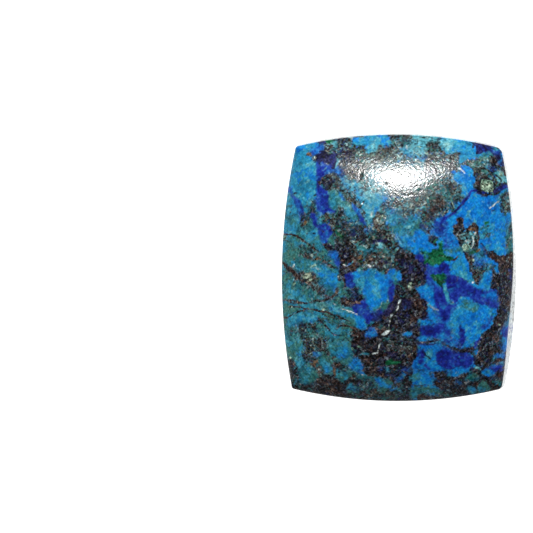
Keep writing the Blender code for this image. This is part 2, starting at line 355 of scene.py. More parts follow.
UPPER_RIGHT = (
    Patch(ROCK, (1.6, 7.2, 3.2, 7.0, 4.0, 6.9, 4.2, 6.5, 4.5, 6.1, 4.7, 5.7, 4.85, 5.2, 4.7, 4.8, 4.2, 4.5,
                 3.9, 4.1, 3.4, 3.75, 2.8, 3.5, 2.2, 3.3, 1.6, 3.4, 0.4, 4.2, 0.2, 5.2, 0.8, 6.4), 0.12, 0.2),
    Patch(CYAN, (3.0, 9.6, 4.6, 9.5, 5.15, 9.2, 5.35, 8.75, 5.6, 8.5, 5.9, 8.25, 5.95, 7.95, 5.4, 7.9, 5.0, 7.8,
                 4.7, 7.5, 4.5, 7.8, 4.45, 8.1, 4.4, 8.4, 4.0, 8.5, 3.8, 8.3, 3.4, 8.3, 3.15, 8.6)),
    Patch(PALE, (3.0, 9.4, 4.0, 9.3, 4.0, 8.8, 3.7, 8.4, 3.3, 8.4, 3.1, 8.8), 0.15, 0.2, 0.8),
    Patch(SKY, (4.3, 9.1, 5.2, 9.1, 5.5, 8.6, 5.95, 8.2, 5.5, 7.95, 4.9, 7.7, 4.6, 7.6, 4.6, 8.3, 4.1, 8.7),
          0.15, 0.2, 0.45),
    Spot(NAVY, (2.95, 9.27), 0.3, 0.2, 40, 0.1, cover=0.7),
    Patch(SKY, (4.65, 7.5, 5.0, 7.2, 5.3, 7.0, 5.35, 6.6, 5.5, 6.2, 5.5, 5.7, 5.3, 5.4, 5.0, 5.3, 4.8, 5.3,
                4.7, 5.6, 4.6, 6.0, 4.4, 6.3, 4.2, 6.5, 4.05, 6.75, 4.2, 6.95, 4.45, 7.0)),
    Patch(ROCK, (4.6, 7.5, 5.2, 7.85, 5.9, 7.95, 6.3, 8.1, 6.9, 7.9, 7.1, 7.6, 7.4, 7.3, 8.2, 7.3, 8.3, 5.9,
                 7.3, 5.9, 6.9, 5.5, 6.2, 5.3, 5.8, 5.4, 5.5, 5.6, 5.5, 6.2, 5.35, 6.7, 5.3, 7.1, 4.9, 7.3),
          0.08, 0.12),
    Patch(TEAL, (5.0, 7.6, 6.2, 7.9, 6.8, 7.7, 6.8, 7.1, 7.6, 7.1, 7.7, 6.6, 6.9, 6.5, 6.0, 6.9, 5.4, 7.0),
          0.2, 0.25, 0.5, 0.4),
    Patch(UMBER, (5.4, 7.1, 6.0, 7.1, 6.2, 6.6, 5.9, 6.2, 5.5, 6.3), 0.12, 0.15, 0.6, 0.3),
    Patch(DARK, (5.55, 6.3, 5.95, 6.4, 6.0, 5.7, 5.8, 5.35, 5.55, 5.5), 0.08, 0.12, 0.85),
    Patch(BLUE, (6.6, 7.4, 7.15, 7.2, 7.1, 6.8, 6.6, 6.95), 0.15, 0.2, 0.5),
    Patch(TEAL, (5.9, 8.4, 6.9, 8.4, 7.0, 7.8, 6.2, 7.8), 0.12, 0.2, 0.8),
    Patch(NAVY, (5.4, 9.3, 6.0, 9.2, 6.8, 9.1, 8.0, 9.0, 7.6, 8.4, 7.3, 7.9, 6.95, 8.0, 6.7, 8.3, 6.3, 8.35,
                 5.95, 8.35, 5.65, 8.5)),
    Patch(AZURITE, (5.7, 8.85, 6.5, 8.75, 6.9, 8.5, 6.6, 8.35, 6.0, 8.4), 0.1, 0.15, 0.55),
    Patch(BLUE, (6.7, 8.7, 7.2, 8.7, 7.5, 8.5, 7.5, 8.1, 7.1, 8.1, 6.9, 8.4), 0.1, 0.15, 0.7),
    Spot(TEAL, (7.1, 8.6), 0.5, 0.3, -20, 0.1, 0.1, 0.8),
    Patch(UMBER, (6.65, 7.95, 7.15, 7.95, 7.25, 7.5, 7.7, 7.35, 7.7, 7.2, 7.1, 7.35, 6.7, 7.6), 0.08, 0.12, 0.8),
    Patch(NAVY, (7.2, 8.0, 7.8, 8.0, 7.9, 7.4, 7.35, 7.5), 0.08, 0.1),
    Spot(BLUE, (7.4, 7.75), 0.3, 0.2, 60, 0.08, 0.08, 0.6),
    Spot(BLACK, (5.45, 8.7), 0.14, 0.25, 0, cover=0.8),
    Patch(CREAM, (5.98, 6.22, 6.25, 6.32, 6.75, 6.27, 6.82, 6.0, 6.9, 5.6, 6.6, 5.5, 6.3, 5.62, 6.0, 5.75),
          0.04, 0.06, cut=0.01),
    Vein(BLACK, (5.98, 6.3, 5.9, 6.0, 5.95, 5.65), 0.13, cut=0.03),
    Vein(BLACK, (6.25, 6.4, 6.5, 6.36, 6.85, 6.3), 0.1, cut=0.02),
    Vein(BLACK, (6.9, 6.1, 6.95, 5.8, 6.95, 5.5), 0.12, cut=0.02),
    Patch(PALE, (7.05, 6.85, 7.5, 6.9, 7.9, 6.6, 7.8, 6.2, 7.3, 6.2, 7.1, 6.5), 0.06, 0.1, 0.9),
    Patch(CREAM, (7.2, 6.8, 7.5, 6.8, 7.6, 6.6, 7.3, 6.55), 0.06, 0.06, 0.7),
    Vein(BLACK, (7.1, 6.7, 7.3, 6.5, 7.4, 6.4, 7.45, 6.25), 0.12, cut=0.02),
    Spot(DARK, (7.75, 6.82), 0.2, 0.5, 10),
    Vein(NAVY, (8.4, 6.3, 7.9, 6.0, 7.6, 5.85, 7.3, 5.68, 7.05, 5.5), 0.42, 0.06, 0.06),
    Vein(AZURITE, (8.4, 6.2, 7.9, 5.98, 7.6, 5.8, 7.3, 5.65), 0.26, 0.08, 0.06, 0.8),
    Vein(DARK, (5.75, 5.45, 6.0, 5.3, 6.5, 5.28, 6.9, 5.32, 7.2, 5.42), 0.16),
    Spot(NAVY, (5.85, 5.42), 0.3, 0.26, 30),
    Spot(AZURITE, (6.2, 5.45), 0.35, 0.16, 10, cover=0.8),
    Vein(UMBER, (5.95, 5.15, 6.2, 5.14, 6.6, 5.28), 0.14, cover=0.8),
    Vein(AZURITE, (5.6, 5.55, 5.4, 5.58, 5.2, 5.45, 5.08, 5.15, 4.85, 4.9, 4.6, 4.58, 4.3, 4.2, 4.0, 3.98,
                   3.7, 3.75, 3.4, 3.58, 3.15, 3.35), 0.22, 0.05, 0.05),
    Vein(NAVY, (5.1, 5.2, 4.85, 4.9, 4.6, 4.58, 4.3, 4.2, 4.0, 4.0, 3.6, 3.7), 0.12, 0.05, 0.05, 0.7),
    Patch(CYAN, (3.6, 6.8, 4.0, 6.6, 3.9, 6.3, 3.3, 6.4), 0.15, 0.2, 0.4, 0.4),
    Patch(UMBER, (3.4, 6.2, 4.2, 6.2, 4.6, 5.6, 4.3, 5.3, 3.6, 5.7), 0.15, 0.2, 0.55, 0.5),
    Patch(UMBER, (2.2, 4.9, 3.0, 5.0, 3.5, 4.6, 3.2, 4.0, 2.3, 4.0), 0.15, 0.2, 0.6, 0.5),
    Patch(TEAL, (3.0, 5.9, 3.6, 5.4, 4.5, 5.2, 4.4, 4.7, 3.6, 4.8, 2.8, 5.4), 0.2, 0.2, 0.5, 0.5),
    Patch(BLUE, (2.3, 3.8, 3.2, 3.7, 3.5, 4.1, 4.0, 4.4, 4.3, 4.7, 3.9, 4.8, 3.4, 4.2, 2.6, 4.0), 0.15, 0.15, 0.4),
    Patch(PALE, (0.3, 5.0, 0.9, 4.9, 1.0, 4.4, 0.5, 4.1, 0.2, 4.4), 0.15, 0.2, 0.4, 0.3),
    Vein(CREAM, (3.8, 4.9, 4.0, 4.5, 4.2, 4.2), 0.08, cover=0.6),
    Vein(CREAM, (3.2, 3.75, 3.4, 4.1), 0.08, cover=0.6),
    Vein(GLINT, (4.42, 7.22, 4.62, 7.0, 4.8, 6.85), 0.1, cover=0.8),
    Patch(ROCK, (7.5, 5.4, 8.6, 5.4, 8.6, 3.9, 7.95, 3.9, 7.6, 4.0, 7.5, 4.4), 0.1, 0.12),
    Patch(TEAL, (7.3, 5.3, 7.8, 5.4, 8.2, 5.0, 7.9, 4.6, 7.6, 4.8), 0.15, 0.15, 0.5),
)

MIDDLE_RIGHT = (
    Patch(CYAN, (5.6, 5.1, 6.2, 4.9, 6.1, 4.2, 5.9, 3.5, 5.6, 3.3, 5.5, 4.0, 5.7, 4.6), 0.2, 0.25, 0.5, 0.4),
    Patch(BLUE, (2.7, 3.15, 3.3, 3.4, 3.55, 3.0, 3.6, 2.6, 3.9, 2.1, 4.0, 1.7, 3.7, 1.25, 3.35, 1.4, 3.3, 2.0,
                 3.0, 2.4, 2.6, 2.6), 0.1, 0.12),
    Patch(AZURITE, (2.75, 3.2, 3.2, 3.35, 3.4, 3.0, 3.3, 2.6, 3.0, 2.5, 2.7, 2.7), 0.1, 0.15, 0.6),
    Patch(UMBER, (4.1, 3.5, 4.5, 3.72, 4.72, 3.5, 4.7, 3.1, 4.9, 2.9, 5.1, 3.2, 5.3, 3.15, 5.5, 3.3, 5.7, 3.15,
                  5.8, 2.9, 5.75, 2.5, 5.0, 2.7, 4.7, 2.55, 4.4, 2.35, 4.15, 2.3, 4.0, 2.55, 4.1, 2.95,
                  4.25, 3.2), 0.05, 0.07),
    Patch(DARK, (4.3, 3.3, 4.65, 3.3, 4.7, 2.9, 4.6, 2.5, 4.2, 2.4, 4.05, 2.7), 0.1, 0.12, 0.6),
    Spot(RUST, (5.3, 2.83), 0.6, 0.18, 5, 0.08, 0.06, 0.6),
    Patch(ROCK, (4.2, 2.5, 4.6, 2.5, 4.9, 2.68, 5.3, 2.65, 5.7, 2.5, 5.85, 2.1, 5.8, 1.6, 5.6, 1.2, 5.3, 1.0,
                 4.9, 1.0, 4.6, 1.4, 4.45, 1.8, 4.3, 2.1), 0.05, 0.06, cut=0.03),
    Patch(PALE, (4.4, 2.4, 4.9, 2.6, 5.5, 2.55, 5.65, 2.1, 5.5, 1.6, 5.3, 1.3, 5.0, 1.5, 4.6, 1.7, 4.55, 2.1),
          0.06, 0.12, 0.65, 0.6),
    Patch(CREAM, (4.55, 1.55, 4.75, 1.75, 5.0, 1.68, 5.25, 1.6, 5.35, 1.4, 5.1, 1.2, 4.92, 1.1, 4.7, 1.3),
          0.04, 0.05, 0.9),
    Vein(GLINT, (5.32, 2.25, 5.42, 2.05, 5.48, 1.85), 0.06, cover=0.8),
    Vein(GLINT, (5.46, 1.75, 5.4, 1.6, 5.25, 1.45), 0.05, cover=0.8),
    Spot(GLINT, (5.52, 2.48), 0.18, 0.1, 40, cover=0.8),
    Spot(GLINT, (4.92, 1.95), 0.1, 0.2, 10, cover=0.8),
    Spot(GLINT, (4.3, 2.4), 0.3, 0.09, 60, cover=0.6),
    Spot(BLACK, (5.22, 1.72), 0.24, 0.16, 0, cut=0.06),
    Spot(BLACK, (4.48, 2.5), 0.2, 0.12, -20, cut=0.05),
    Spot(BLACK, (5.18, 2.1), 0.16, 0.1, 20, cut=0.03),
    Spot(BLACK, (4.8, 1.98), 0.1, 0.22, 20, cut=0.03),
    Spot(BLACK, (5.45, 2.42), 0.12, 0.08, 0, cut=0.02),
    Vein(UMBER, (5.72, 2.5, 5.8, 2.1, 5.7, 1.7), 0.13),
    Vein(DARK, (4.5, 1.75, 4.5, 1.4, 4.75, 1.1, 4.92, 1.0), 0.13),
    Spot(GREEN, (6.36, 3.22), 0.4, 0.2, 25),
    Patch(TEAL, (6.0, 3.0, 6.5, 3.1, 6.7, 2.6, 6.5, 2.15, 6.1, 2.2, 6.0, 2.6), 0.1, 0.15, 0.7),
    Spot(ROCK, (6.5, 2.4), 0.4, 0.2, 30, 0.08, 0.08, 0.8),
    Spot(GREEN, (6.2, 2.85), 0.35, 0.16, 20, 0.08, 0.06, 0.6),
    Spot(DARK, (6.5, 3.0), 0.2, 0.14, 30, 0.06, 0.05, 0.7),
    Spot(ROCK, (6.15, 3.0), 0.4, 0.08, 60, 0.06, 0.04, 0.6),
    Patch(TEAL, (7.75, 3.0, 8.8, 3.2, 8.8, 0.9, 7.9, 0.9, 7.75, 1.4, 7.85, 2.0), 0.12, 0.12),
    Spot(ROCK, (8.0, 2.0), 0.5, 0.2, 70, 0.08, 0.08, 0.8),
    Spot(ROCK, (7.8, 1.6), 0.3, 0.18, 60, 0.08, 0.06, 0.8),
    Spot(ROCK, (8.15, 2.9), 0.6, 0.18, 80, 0.08, 0.08, 0.8),
    # Painted shade: a thin black line along the right-hand rim.
    Spot(BLACK, (8.3, 3.5), 0.9, 0.16, 97),
    Spot(BLACK, (6.88, 4.1), 0.2, 0.14, -20, cut=0.02),
    Spot(ROCK, (6.75, 4.15), 0.3, 0.14, -60, 0.06, 0.05, 0.6),
    Vein(GLINT, (6.55, 4.3, 6.8, 4.45, 7.0, 4.6, 7.25, 4.8), 0.09, cover=0.85),
    Vein(PALE, (6.45, 4.55, 6.56, 4.3), 0.08, cover=0.6),
    Spot(PALE, (6.15, 4.72), 0.2, 0.12, 60, 0.08, 0.04, 0.7),
    Patch(TEAL, (3.6, 1.5, 4.1, 1.5, 4.5, 1.6, 4.6, 1.2, 4.3, 1.0, 3.9, 0.85, 3.6, 0.9, 3.4, 1.2), 0.12, 0.15, 0.7),
    Patch(UMBER, (6.35, 1.15, 6.8, 1.22, 7.1, 1.1, 7.4, 0.9, 7.7, 1.0, 8.8, 1.1, 8.8, 0.2, 8.0, -0.2, 7.8, -0.7,
                  7.2, -0.5, 7.25, 0.0, 7.3, 0.3, 7.0, 0.5, 6.7, 0.6, 6.4, 0.8), 0.06, 0.1),
    Patch(ROCK, (7.3, 0.0, 7.9, 0.0, 8.1, -0.4, 7.7, -0.7, 7.2, -0.6), 0.1, 0.15, 0.7),
    Spot(RUST, (7.45, 0.35), 0.5, 0.2, 70, 0.1, 0.08, 0.4),
    Patch(DARK, (6.35, 1.1, 6.7, 1.1, 6.7, 0.7, 6.4, 0.75), 0.08, 0.1, 0.6),
    Vein(UMBER, (5.95, 1.75, 6.15, 1.55, 6.3, 1.2, 6.35, 1.0), 0.22, 0.08, 0.08, 0.8),
    Patch(CYAN, (3.8, 0.3, 4.1, 0.6, 4.4, 1.0, 4.8, 1.0, 4.95, 0.6, 4.95, 0.1, 5.1, -0.25, 5.4, -0.55, 5.45, -0.9,
                 5.2, -1.05, 4.9, -0.95, 4.5, -0.75, 4.2, -0.6, 4.0, -0.4, 3.8, -0.1)),
    Patch(SKY, (4.0, 0.7, 4.4, 1.05, 4.85, 0.95, 4.7, 0.6, 4.2, 0.3), 0.12, 0.12, 0.7),
    Vein(UMBER, (3.75, 0.6, 4.0, 0.6, 4.3, 0.85), 0.15, cover=0.85),
    Patch(BLUE, (5.3, 1.0, 5.9, 1.3, 6.3, 1.0, 6.4, 0.6, 6.3, 0.1, 5.9, -0.2, 5.5, -0.2, 5.3, 0.3), 0.12, 0.18, 0.8),
    Patch(TEAL, (5.4, 1.3, 6.0, 1.3, 6.2, 0.9, 5.9, 0.6, 5.4, 0.7), 0.15, 0.2, 0.7),
    Vein(GREEN, (5.2, 1.05, 5.5, 1.2, 5.8, 1.3), 0.2, 0.08, 0.08, 0.6),
    Spot(RUST, (5.82, 1.3), 0.25, 0.14, 20, 0.06, 0.04, 0.7),
    Vein(DARK, (4.9, 1.1, 4.98, 0.8, 5.15, 0.55, 5.25, 0.2, 5.25, -0.1), 0.26, 0.06, 0.1),
    Patch(UMBER, (5.1, 0.9, 5.4, 0.9, 5.5, 0.5, 5.35, 0.0, 5.2, 0.2), 0.08, 0.1, 0.7),
    Spot(CREAM, (5.07, 0.82), 0.12, 0.12),
    Spot(CREAM, (5.2, 0.5), 0.16, 0.12, 30),
    Spot(CREAM, (5.42, 0.55), 0.1, 0.18),
    Patch(SKY, (6.35, 0.85, 6.6, 0.65, 6.9, 0.4, 7.15, 0.0, 7.05, -0.3, 6.8, -0.3, 6.5, 0.1), 0.07, 0.08),
    Vein(PALE, (6.1, 0.45, 6.25, 0.2, 6.5, 0.05), 0.08, cover=0.5),
)

CENTRE = (
    Patch(ROCK, (-5.65, 3.55, -5.2, 3.95, -4.5, 3.9, -3.9, 4.2, -3.4, 3.2, -2.3, 3.2, -1.8, 3.35, -1.45, 3.9,
                 -1.0, 4.4, -0.85, 3.7, -0.6, 3.0, 0.0, 2.3, 0.5, 1.3, 1.2, 0.9, 2.2, 0.4, 2.2, -0.6, 0.3, -0.4,
                 -0.6, 0.0, -1.2, -0.3, -2.2, -0.35, -3.1, -0.3, -4.2, -0.6, -4.35, 0.6, -4.2, 1.3, -4.5, 1.9,
                 -4.8, 2.6, -4.95, 3.1, -5.4, 3.2), 0.08, 0.14),
    Patch(DARK, (-4.4, 3.4, -3.4, 3.3, -3.5, 2.6, -3.4, 1.6, -3.9, 1.2, -4.4, 1.6, -4.7, 2.5), 0.2, 0.25, 0.45, 0.4),
    Patch(DARK, (-4.4, 1.6, -3.6, 1.5, -2.9, 0.9, -3.0, 0.1, -2.2, -0.3, -3.2, -0.35, -4.2, -0.9, -4.3, 0.4),
          0.12, 0.2, 0.85),
    Patch(CYAN, (-0.75, 4.2, 0.1, 4.2, 0.4, 3.8, 0.9, 3.9, 1.4, 4.0, 1.7, 3.6, 1.4, 3.25, 1.0, 3.05, 0.4, 2.95,
                 -0.1, 3.05, -0.5, 2.9, -0.75, 3.4), 0.12, 0.2, 0.7),
    Patch(SKY, (-0.6, 4.1, -0.1, 3.9, -0.3, 3.3, -0.65, 3.3), 0.12, 0.2, 0.5),
    Patch(SKY, (0.9, 3.9, 1.45, 3.9, 1.5, 3.4, 1.1, 3.3), 0.12, 0.2, 0.55),
    Patch(CYAN, (-0.1, 2.9, 0.5, 2.85, 0.95, 2.6, 0.8, 2.25, 0.35, 2.3, 0.0, 2.5), 0.1, 0.15, 0.8),
    Patch(ROCK, (-0.8, 4.3, 0.4, 4.3, 1.7, 4.2, 2.1, 3.6, 1.6, 3.1, 0.6, 2.9, -0.3, 3.1), 0.2, 0.3, 0.4, 0.6),
    Patch(UMBER, (-0.1, 3.3, 0.2, 3.35, 0.25, 3.05, 0.0, 3.0), 0.1, 0.15, 0.5),
    Vein(ROCK, (0.45, 2.75, 0.75, 2.45, 0.95, 2.15, 1.05, 1.8), 0.3, 0.12, 0.15, 0.45),
    Patch(SKY, (0.2, 2.2, 0.6, 2.2, 1.05, 2.3, 1.2, 2.65, 1.55, 2.75, 1.95, 2.5, 2.15, 2.1, 2.2, 1.75, 2.5, 1.6,
                2.65, 1.25, 2.4, 0.85, 2.1, 0.95, 1.9, 1.15, 1.6, 1.15, 1.4, 1.0, 1.15, 1.05, 0.85, 1.35,
                0.55, 1.4, 0.4, 1.8), 0.06, 0.08),
    Patch(BLUE, (0.15, 2.5, 0.5, 1.9, 0.5, 1.3, 0.1, 1.5, -0.2, 2.2), 0.12, 0.12, 0.6),
    Spot(ROCK, (1.15, 2.0), 0.4, 0.25, 60, 0.1, 0.08, 0.6),
    Patch(NAVY, (1.5, 3.2, 2.1, 3.1, 2.2, 2.6, 1.7, 2.75, 1.45, 2.9), 0.12, 0.15, 0.7),
    Patch(TEAL, (1.3, 3.6, 1.9, 3.5, 2.6, 3.4, 2.6, 2.9, 1.9, 3.0, 1.2, 3.1), 0.15, 0.2, 0.55, 0.3),
    Patch(BLUE, (2.3, 3.0, 2.9, 3.1, 2.95, 2.5, 2.4, 2.4), 0.1, 0.15, 0.85),
    Patch(DARK, (2.15, 2.6, 2.5, 2.4, 2.95, 2.3, 2.9, 1.6, 2.6, 1.55, 2.3, 1.9), 0.08, 0.12, 0.85),
    Spot(GREEN, (2.7, 1.92), 0.35, 0.22, 50, 0.06, 0.06, 0.8),
    Patch(DARK, (0.1, 1.4, 0.7, 1.2, 1.3, 0.95, 2.0, 0.5, 2.2, 0.1, 2.2, -0.5, 2.0, -1.0, 1.9, -1.3, 1.5, -1.3,
                 1.4, -1.5, 1.65, -1.9, 2.0, -2.2, 2.2, -2.6, 2.2, -3.1, 2.05, -3.7, 1.6, -3.9, 1.7, -4.4,
                 1.6, -4.9, 1.4, -5.4, 1.4, -6.4, 1.1, -7.0, 1.1, -7.8, 0.9, -8.6, 0.2, -8.4, -1.2, -7.9,
                 -2.2, -7.8, -3.2, -6.6, -3.4, -5.4, -3.0, -4.6, -2.3, -4.3, -1.9, -3.95, -1.3, -3.3, -0.9, -3.0,
                 -0.6, -2.5, -0.3, -1.9, -0.1, -1.2, 0.2, -0.6, -0.2, -0.1, -0.3, 0.6), 0.07, 0.12),
    Patch(NAVY, (0.3, 0.6, 1.6, 0.3, 2.1, 0.2, 2.1, -0.4, 1.2, -0.3, 0.5, -0.5), 0.2, 0.25, 0.5, 0.5),
    Patch(AZURITE, (1.4, 1.02, 1.75, 1.0, 1.95, 0.7, 1.65, 0.5, 1.3, 0.7), 0.08, 0.1, 0.85),
    Patch(AZURITE, (1.8, 0.5, 2.3, 0.3, 2.3, -0.6, 2.0, -0.5, 2.0, 0.0), 0.12, 0.15, 0.6),
    Patch(TEAL, (-2.95, 1.65, -2.4, 1.55, -1.9, 1.5, -1.7, 1.3, -2.1, 1.1, -2.8, 1.2), 0.1, 0.15, 0.7),
    Patch(PALE, (-1.4, 1.78, -1.05, 1.75, -1.05, 1.5, -1.35, 1.47), 0.07, 0.07, 0.7),
    Patch(TEAL, (-0.95, 1.5, -0.2, 1.3, -0.3, 0.8, -0.7, 0.75, -1.0, 1.1), 0.12, 0.2, 0.5, 0.4),
    Patch(TEAL, (-2.1, 2.8, -1.5, 2.7, -1.3, 2.0, -1.9, 1.9, -2.2, 2.3), 0.15, 0.2, 0.45, 0.5),
    Patch(BLUE, (-2.6, 3.0, -1.8, 2.9, -1.7, 2.5, -2.4, 2.6), 0.15, 0.2, 0.5, 0.3),
    Patch(NAVY, (-3.4, 2.9, -3.0, 2.6, -2.9, 2.1, -3.3, 2.1), 0.1, 0.15, 0.7),
    Vein(NAVY, (-1.75, 1.95, -1.3, 1.92, -0.9, 1.98), 0.26, 0.08, 0.08, 0.8),
    Vein(UMBER, (-1.7, 3.4, -1.45, 3.1, -1.35, 2.7), 0.4, 0.12, 0.15, 0.6),
    Spot(RUST, (-1.4, 2.8), 0.3, 0.2, -60, 0.08, 0.05, 0.5),
    Patch(UMBER, (-2.3, 1.0, -1.4, 1.0, -0.5, 0.5, -0.4, 0.0, -1.2, 0.1, -2.2, 0.4), 0.15, 0.25, 0.5, 0.4),
    Spot(UMBER, (-1.9, 0.58), 0.4, 0.26, 10, 0.06, 0.08),
    Patch(NAVY, (-1.0, 0.55, -0.5, 0.5, -0.3, 0.35, -0.9, 0.3), 0.08, 0.1, 0.7),
    Patch(UMBER, (-0.95, -0.2, -0.6, 0.05, -0.5, -0.3, -0.78, -0.5), 0.05, 0.06),
    Spot(RUST, (-0.72, -0.28), 0.4, 0.16, 60, 0.06, 0.04, 0.5),
    Patch(SKY, (-0.55, -0.05, -0.25, -0.1, 0.0, -0.3, 0.18, -0.25, 0.2, -0.6, 0.08, -0.95, -0.12, -0.8,
                -0.15, -0.5, -0.5, -0.5), 0.07, 0.12),
    Patch(CYAN, (-0.3, -0.2, 0.0, -0.35, 0.15, -0.5, 0.1, -0.8, -0.05, -0.6), 0.08, 0.12, 0.7),
    Patch(DARK, (-0.5, 0.0, -0.1, 0.05, 0.3, -0.15, 0.3, -0.4, 0.1, -0.2, -0.2, -0.05), 0.08, 0.1, 0.6),
    Vein(PALE, (-0.15, 2.55, 0.05, 2.1, 0.25, 1.75, 0.42, 1.55), 0.09, cover=0.7),
    Vein(PALE, (0.75, 2.95, 1.1, 3.15, 1.45, 3.5), 0.09, cover=0.6),
    Vein(CREAM, (1.45, 1.3, 1.55, 1.15, 1.72, 1.0), 0.1, cover=0.7),
    Vein(PALE, (1.35, 4.3, 1.7, 4.35, 2.1, 4.6), 0.12, cover=0.5),
    Spot(PALE, (-1.84, 3.9), 0.6, 0.22, 80, 0.1, 0.08, 0.8),
    Spot(GLINT, (-1.87, 3.82), 0.34, 0.1, 85, 0.06, 0.06, 0.6),
    Vein(GLINT, (-2.1, 0.28, -2.0, 0.15, -1.9, 0.08), 0.09, cover=0.8),
    Vein(CREAM, (-1.3, 3.6, -1.1, 3.75), 0.08, cover=0.7),
    Spot(BLACK, (2.16, 3.7), 0.22, 0.12, 10, cover=0.7),
    Spot(RUST, (2.15, 3.7), 0.3, 0.2, 10, cover=0.5),
    Spot(BLACK, (-3.9, 3.0), 0.24, 0.12, -10, cover=0.8),
    Spot(GREEN, (-4.25, 2.4), 0.6, 0.25, -50, 0.1, 0.1, 0.6),
    Spot(GREEN, (-2.65, 0.5), 0.3, 0.18, 0, 0.08, 0.06, 0.5),
    Spot(RUST, (-2.68, 0.75), 0.28, 0.24, 0, 0.08, 0.05, 0.85),
    Spot(GREEN, (-1.55, 2.25), 0.25, 0.2, 0, 0.08, 0.06, 0.5),
    Patch(GREEN, (2.2, 0.9, 2.4, 1.2, 2.8, 1.4, 3.05, 1.75, 3.15, 1.9, 3.2, 1.45, 3.25, 1.1, 3.5, 0.85,
                  3.95, 0.75, 3.9, 0.6, 3.5, 0.5, 3.2, 0.35, 2.95, 0.15, 2.7, 0.3, 2.45, 0.05, 2.3, 0.35,
                  2.0, 0.4, 2.1, 0.65), 0.05, 0.1),
    Patch(GREEN, (1.45, 1.35, 1.7, 1.5, 1.8, 1.3, 2.1, 1.2, 2.4, 0.95, 2.3, 0.8, 1.95, 0.95, 1.75, 1.1), 0.06, 0.1,
          0.75),
    Vein(GREEN, (1.9, 0.85, 2.1, 0.55, 2.35, 0.3), 0.16, 0.08, 0.06, 0.6),
    Vein(GREEN, (3.2, 1.2, 3.5, 1.35, 3.7, 1.3), 0.12, 0.06, 0.05, 0.5),
    Patch(DARK, (2.2, 0.75, 2.6, 0.65, 2.9, 0.4, 2.6, 0.35, 2.3, 0.5), 0.1, 0.15, 0.35),
    Vein(DARK, (2.95, 0.92, 3.3, 0.8, 3.8, 0.6), 0.1, cover=0.7),
    Spot(DARK, (2.2, 0.7), 0.4, 0.2, -30, 0.08, 0.08, 0.6),
    Patch(AZURITE, (2.15, 0.1, 2.4, 0.15, 2.9, 0.05, 3.1, 0.3, 3.35, 0.42, 3.6, 0.2, 3.75, -0.3, 3.6, -0.6,
                    3.2, -0.45, 2.6, -0.45, 2.15, -0.6), 0.05, 0.06),
    Patch(BLUE, (2.1, 0.05, 2.8, 0.0, 2.9, -0.35, 2.2, -0.4), 0.12, 0.12, 0.5),
    Patch(GREEN, (2.35, -0.55, 2.6, -0.45, 3.0, -0.5, 3.3, -0.38, 3.6, -0.58, 3.55, -0.95, 3.35, -1.2,
                  3.22, -1.6, 3.1, -1.5, 3.0, -1.25, 2.75, -0.98, 2.4, -0.85), 0.05, 0.09),
    Patch(DARK, (2.35, -0.6, 3.0, -0.55, 3.5, -0.6, 3.4, -0.95, 3.0, -0.85, 2.5, -0.8), 0.1, 0.15, 0.45),
    Vein(BLACK, (3.2, -1.1, 3.17, -1.5, 3.15, -2.0), 0.15, cover=0.85),
    Spot(ROCK, (0.8, -0.5), 0.3, 0.2, 40, 0.1, 0.1, 0.4),
)

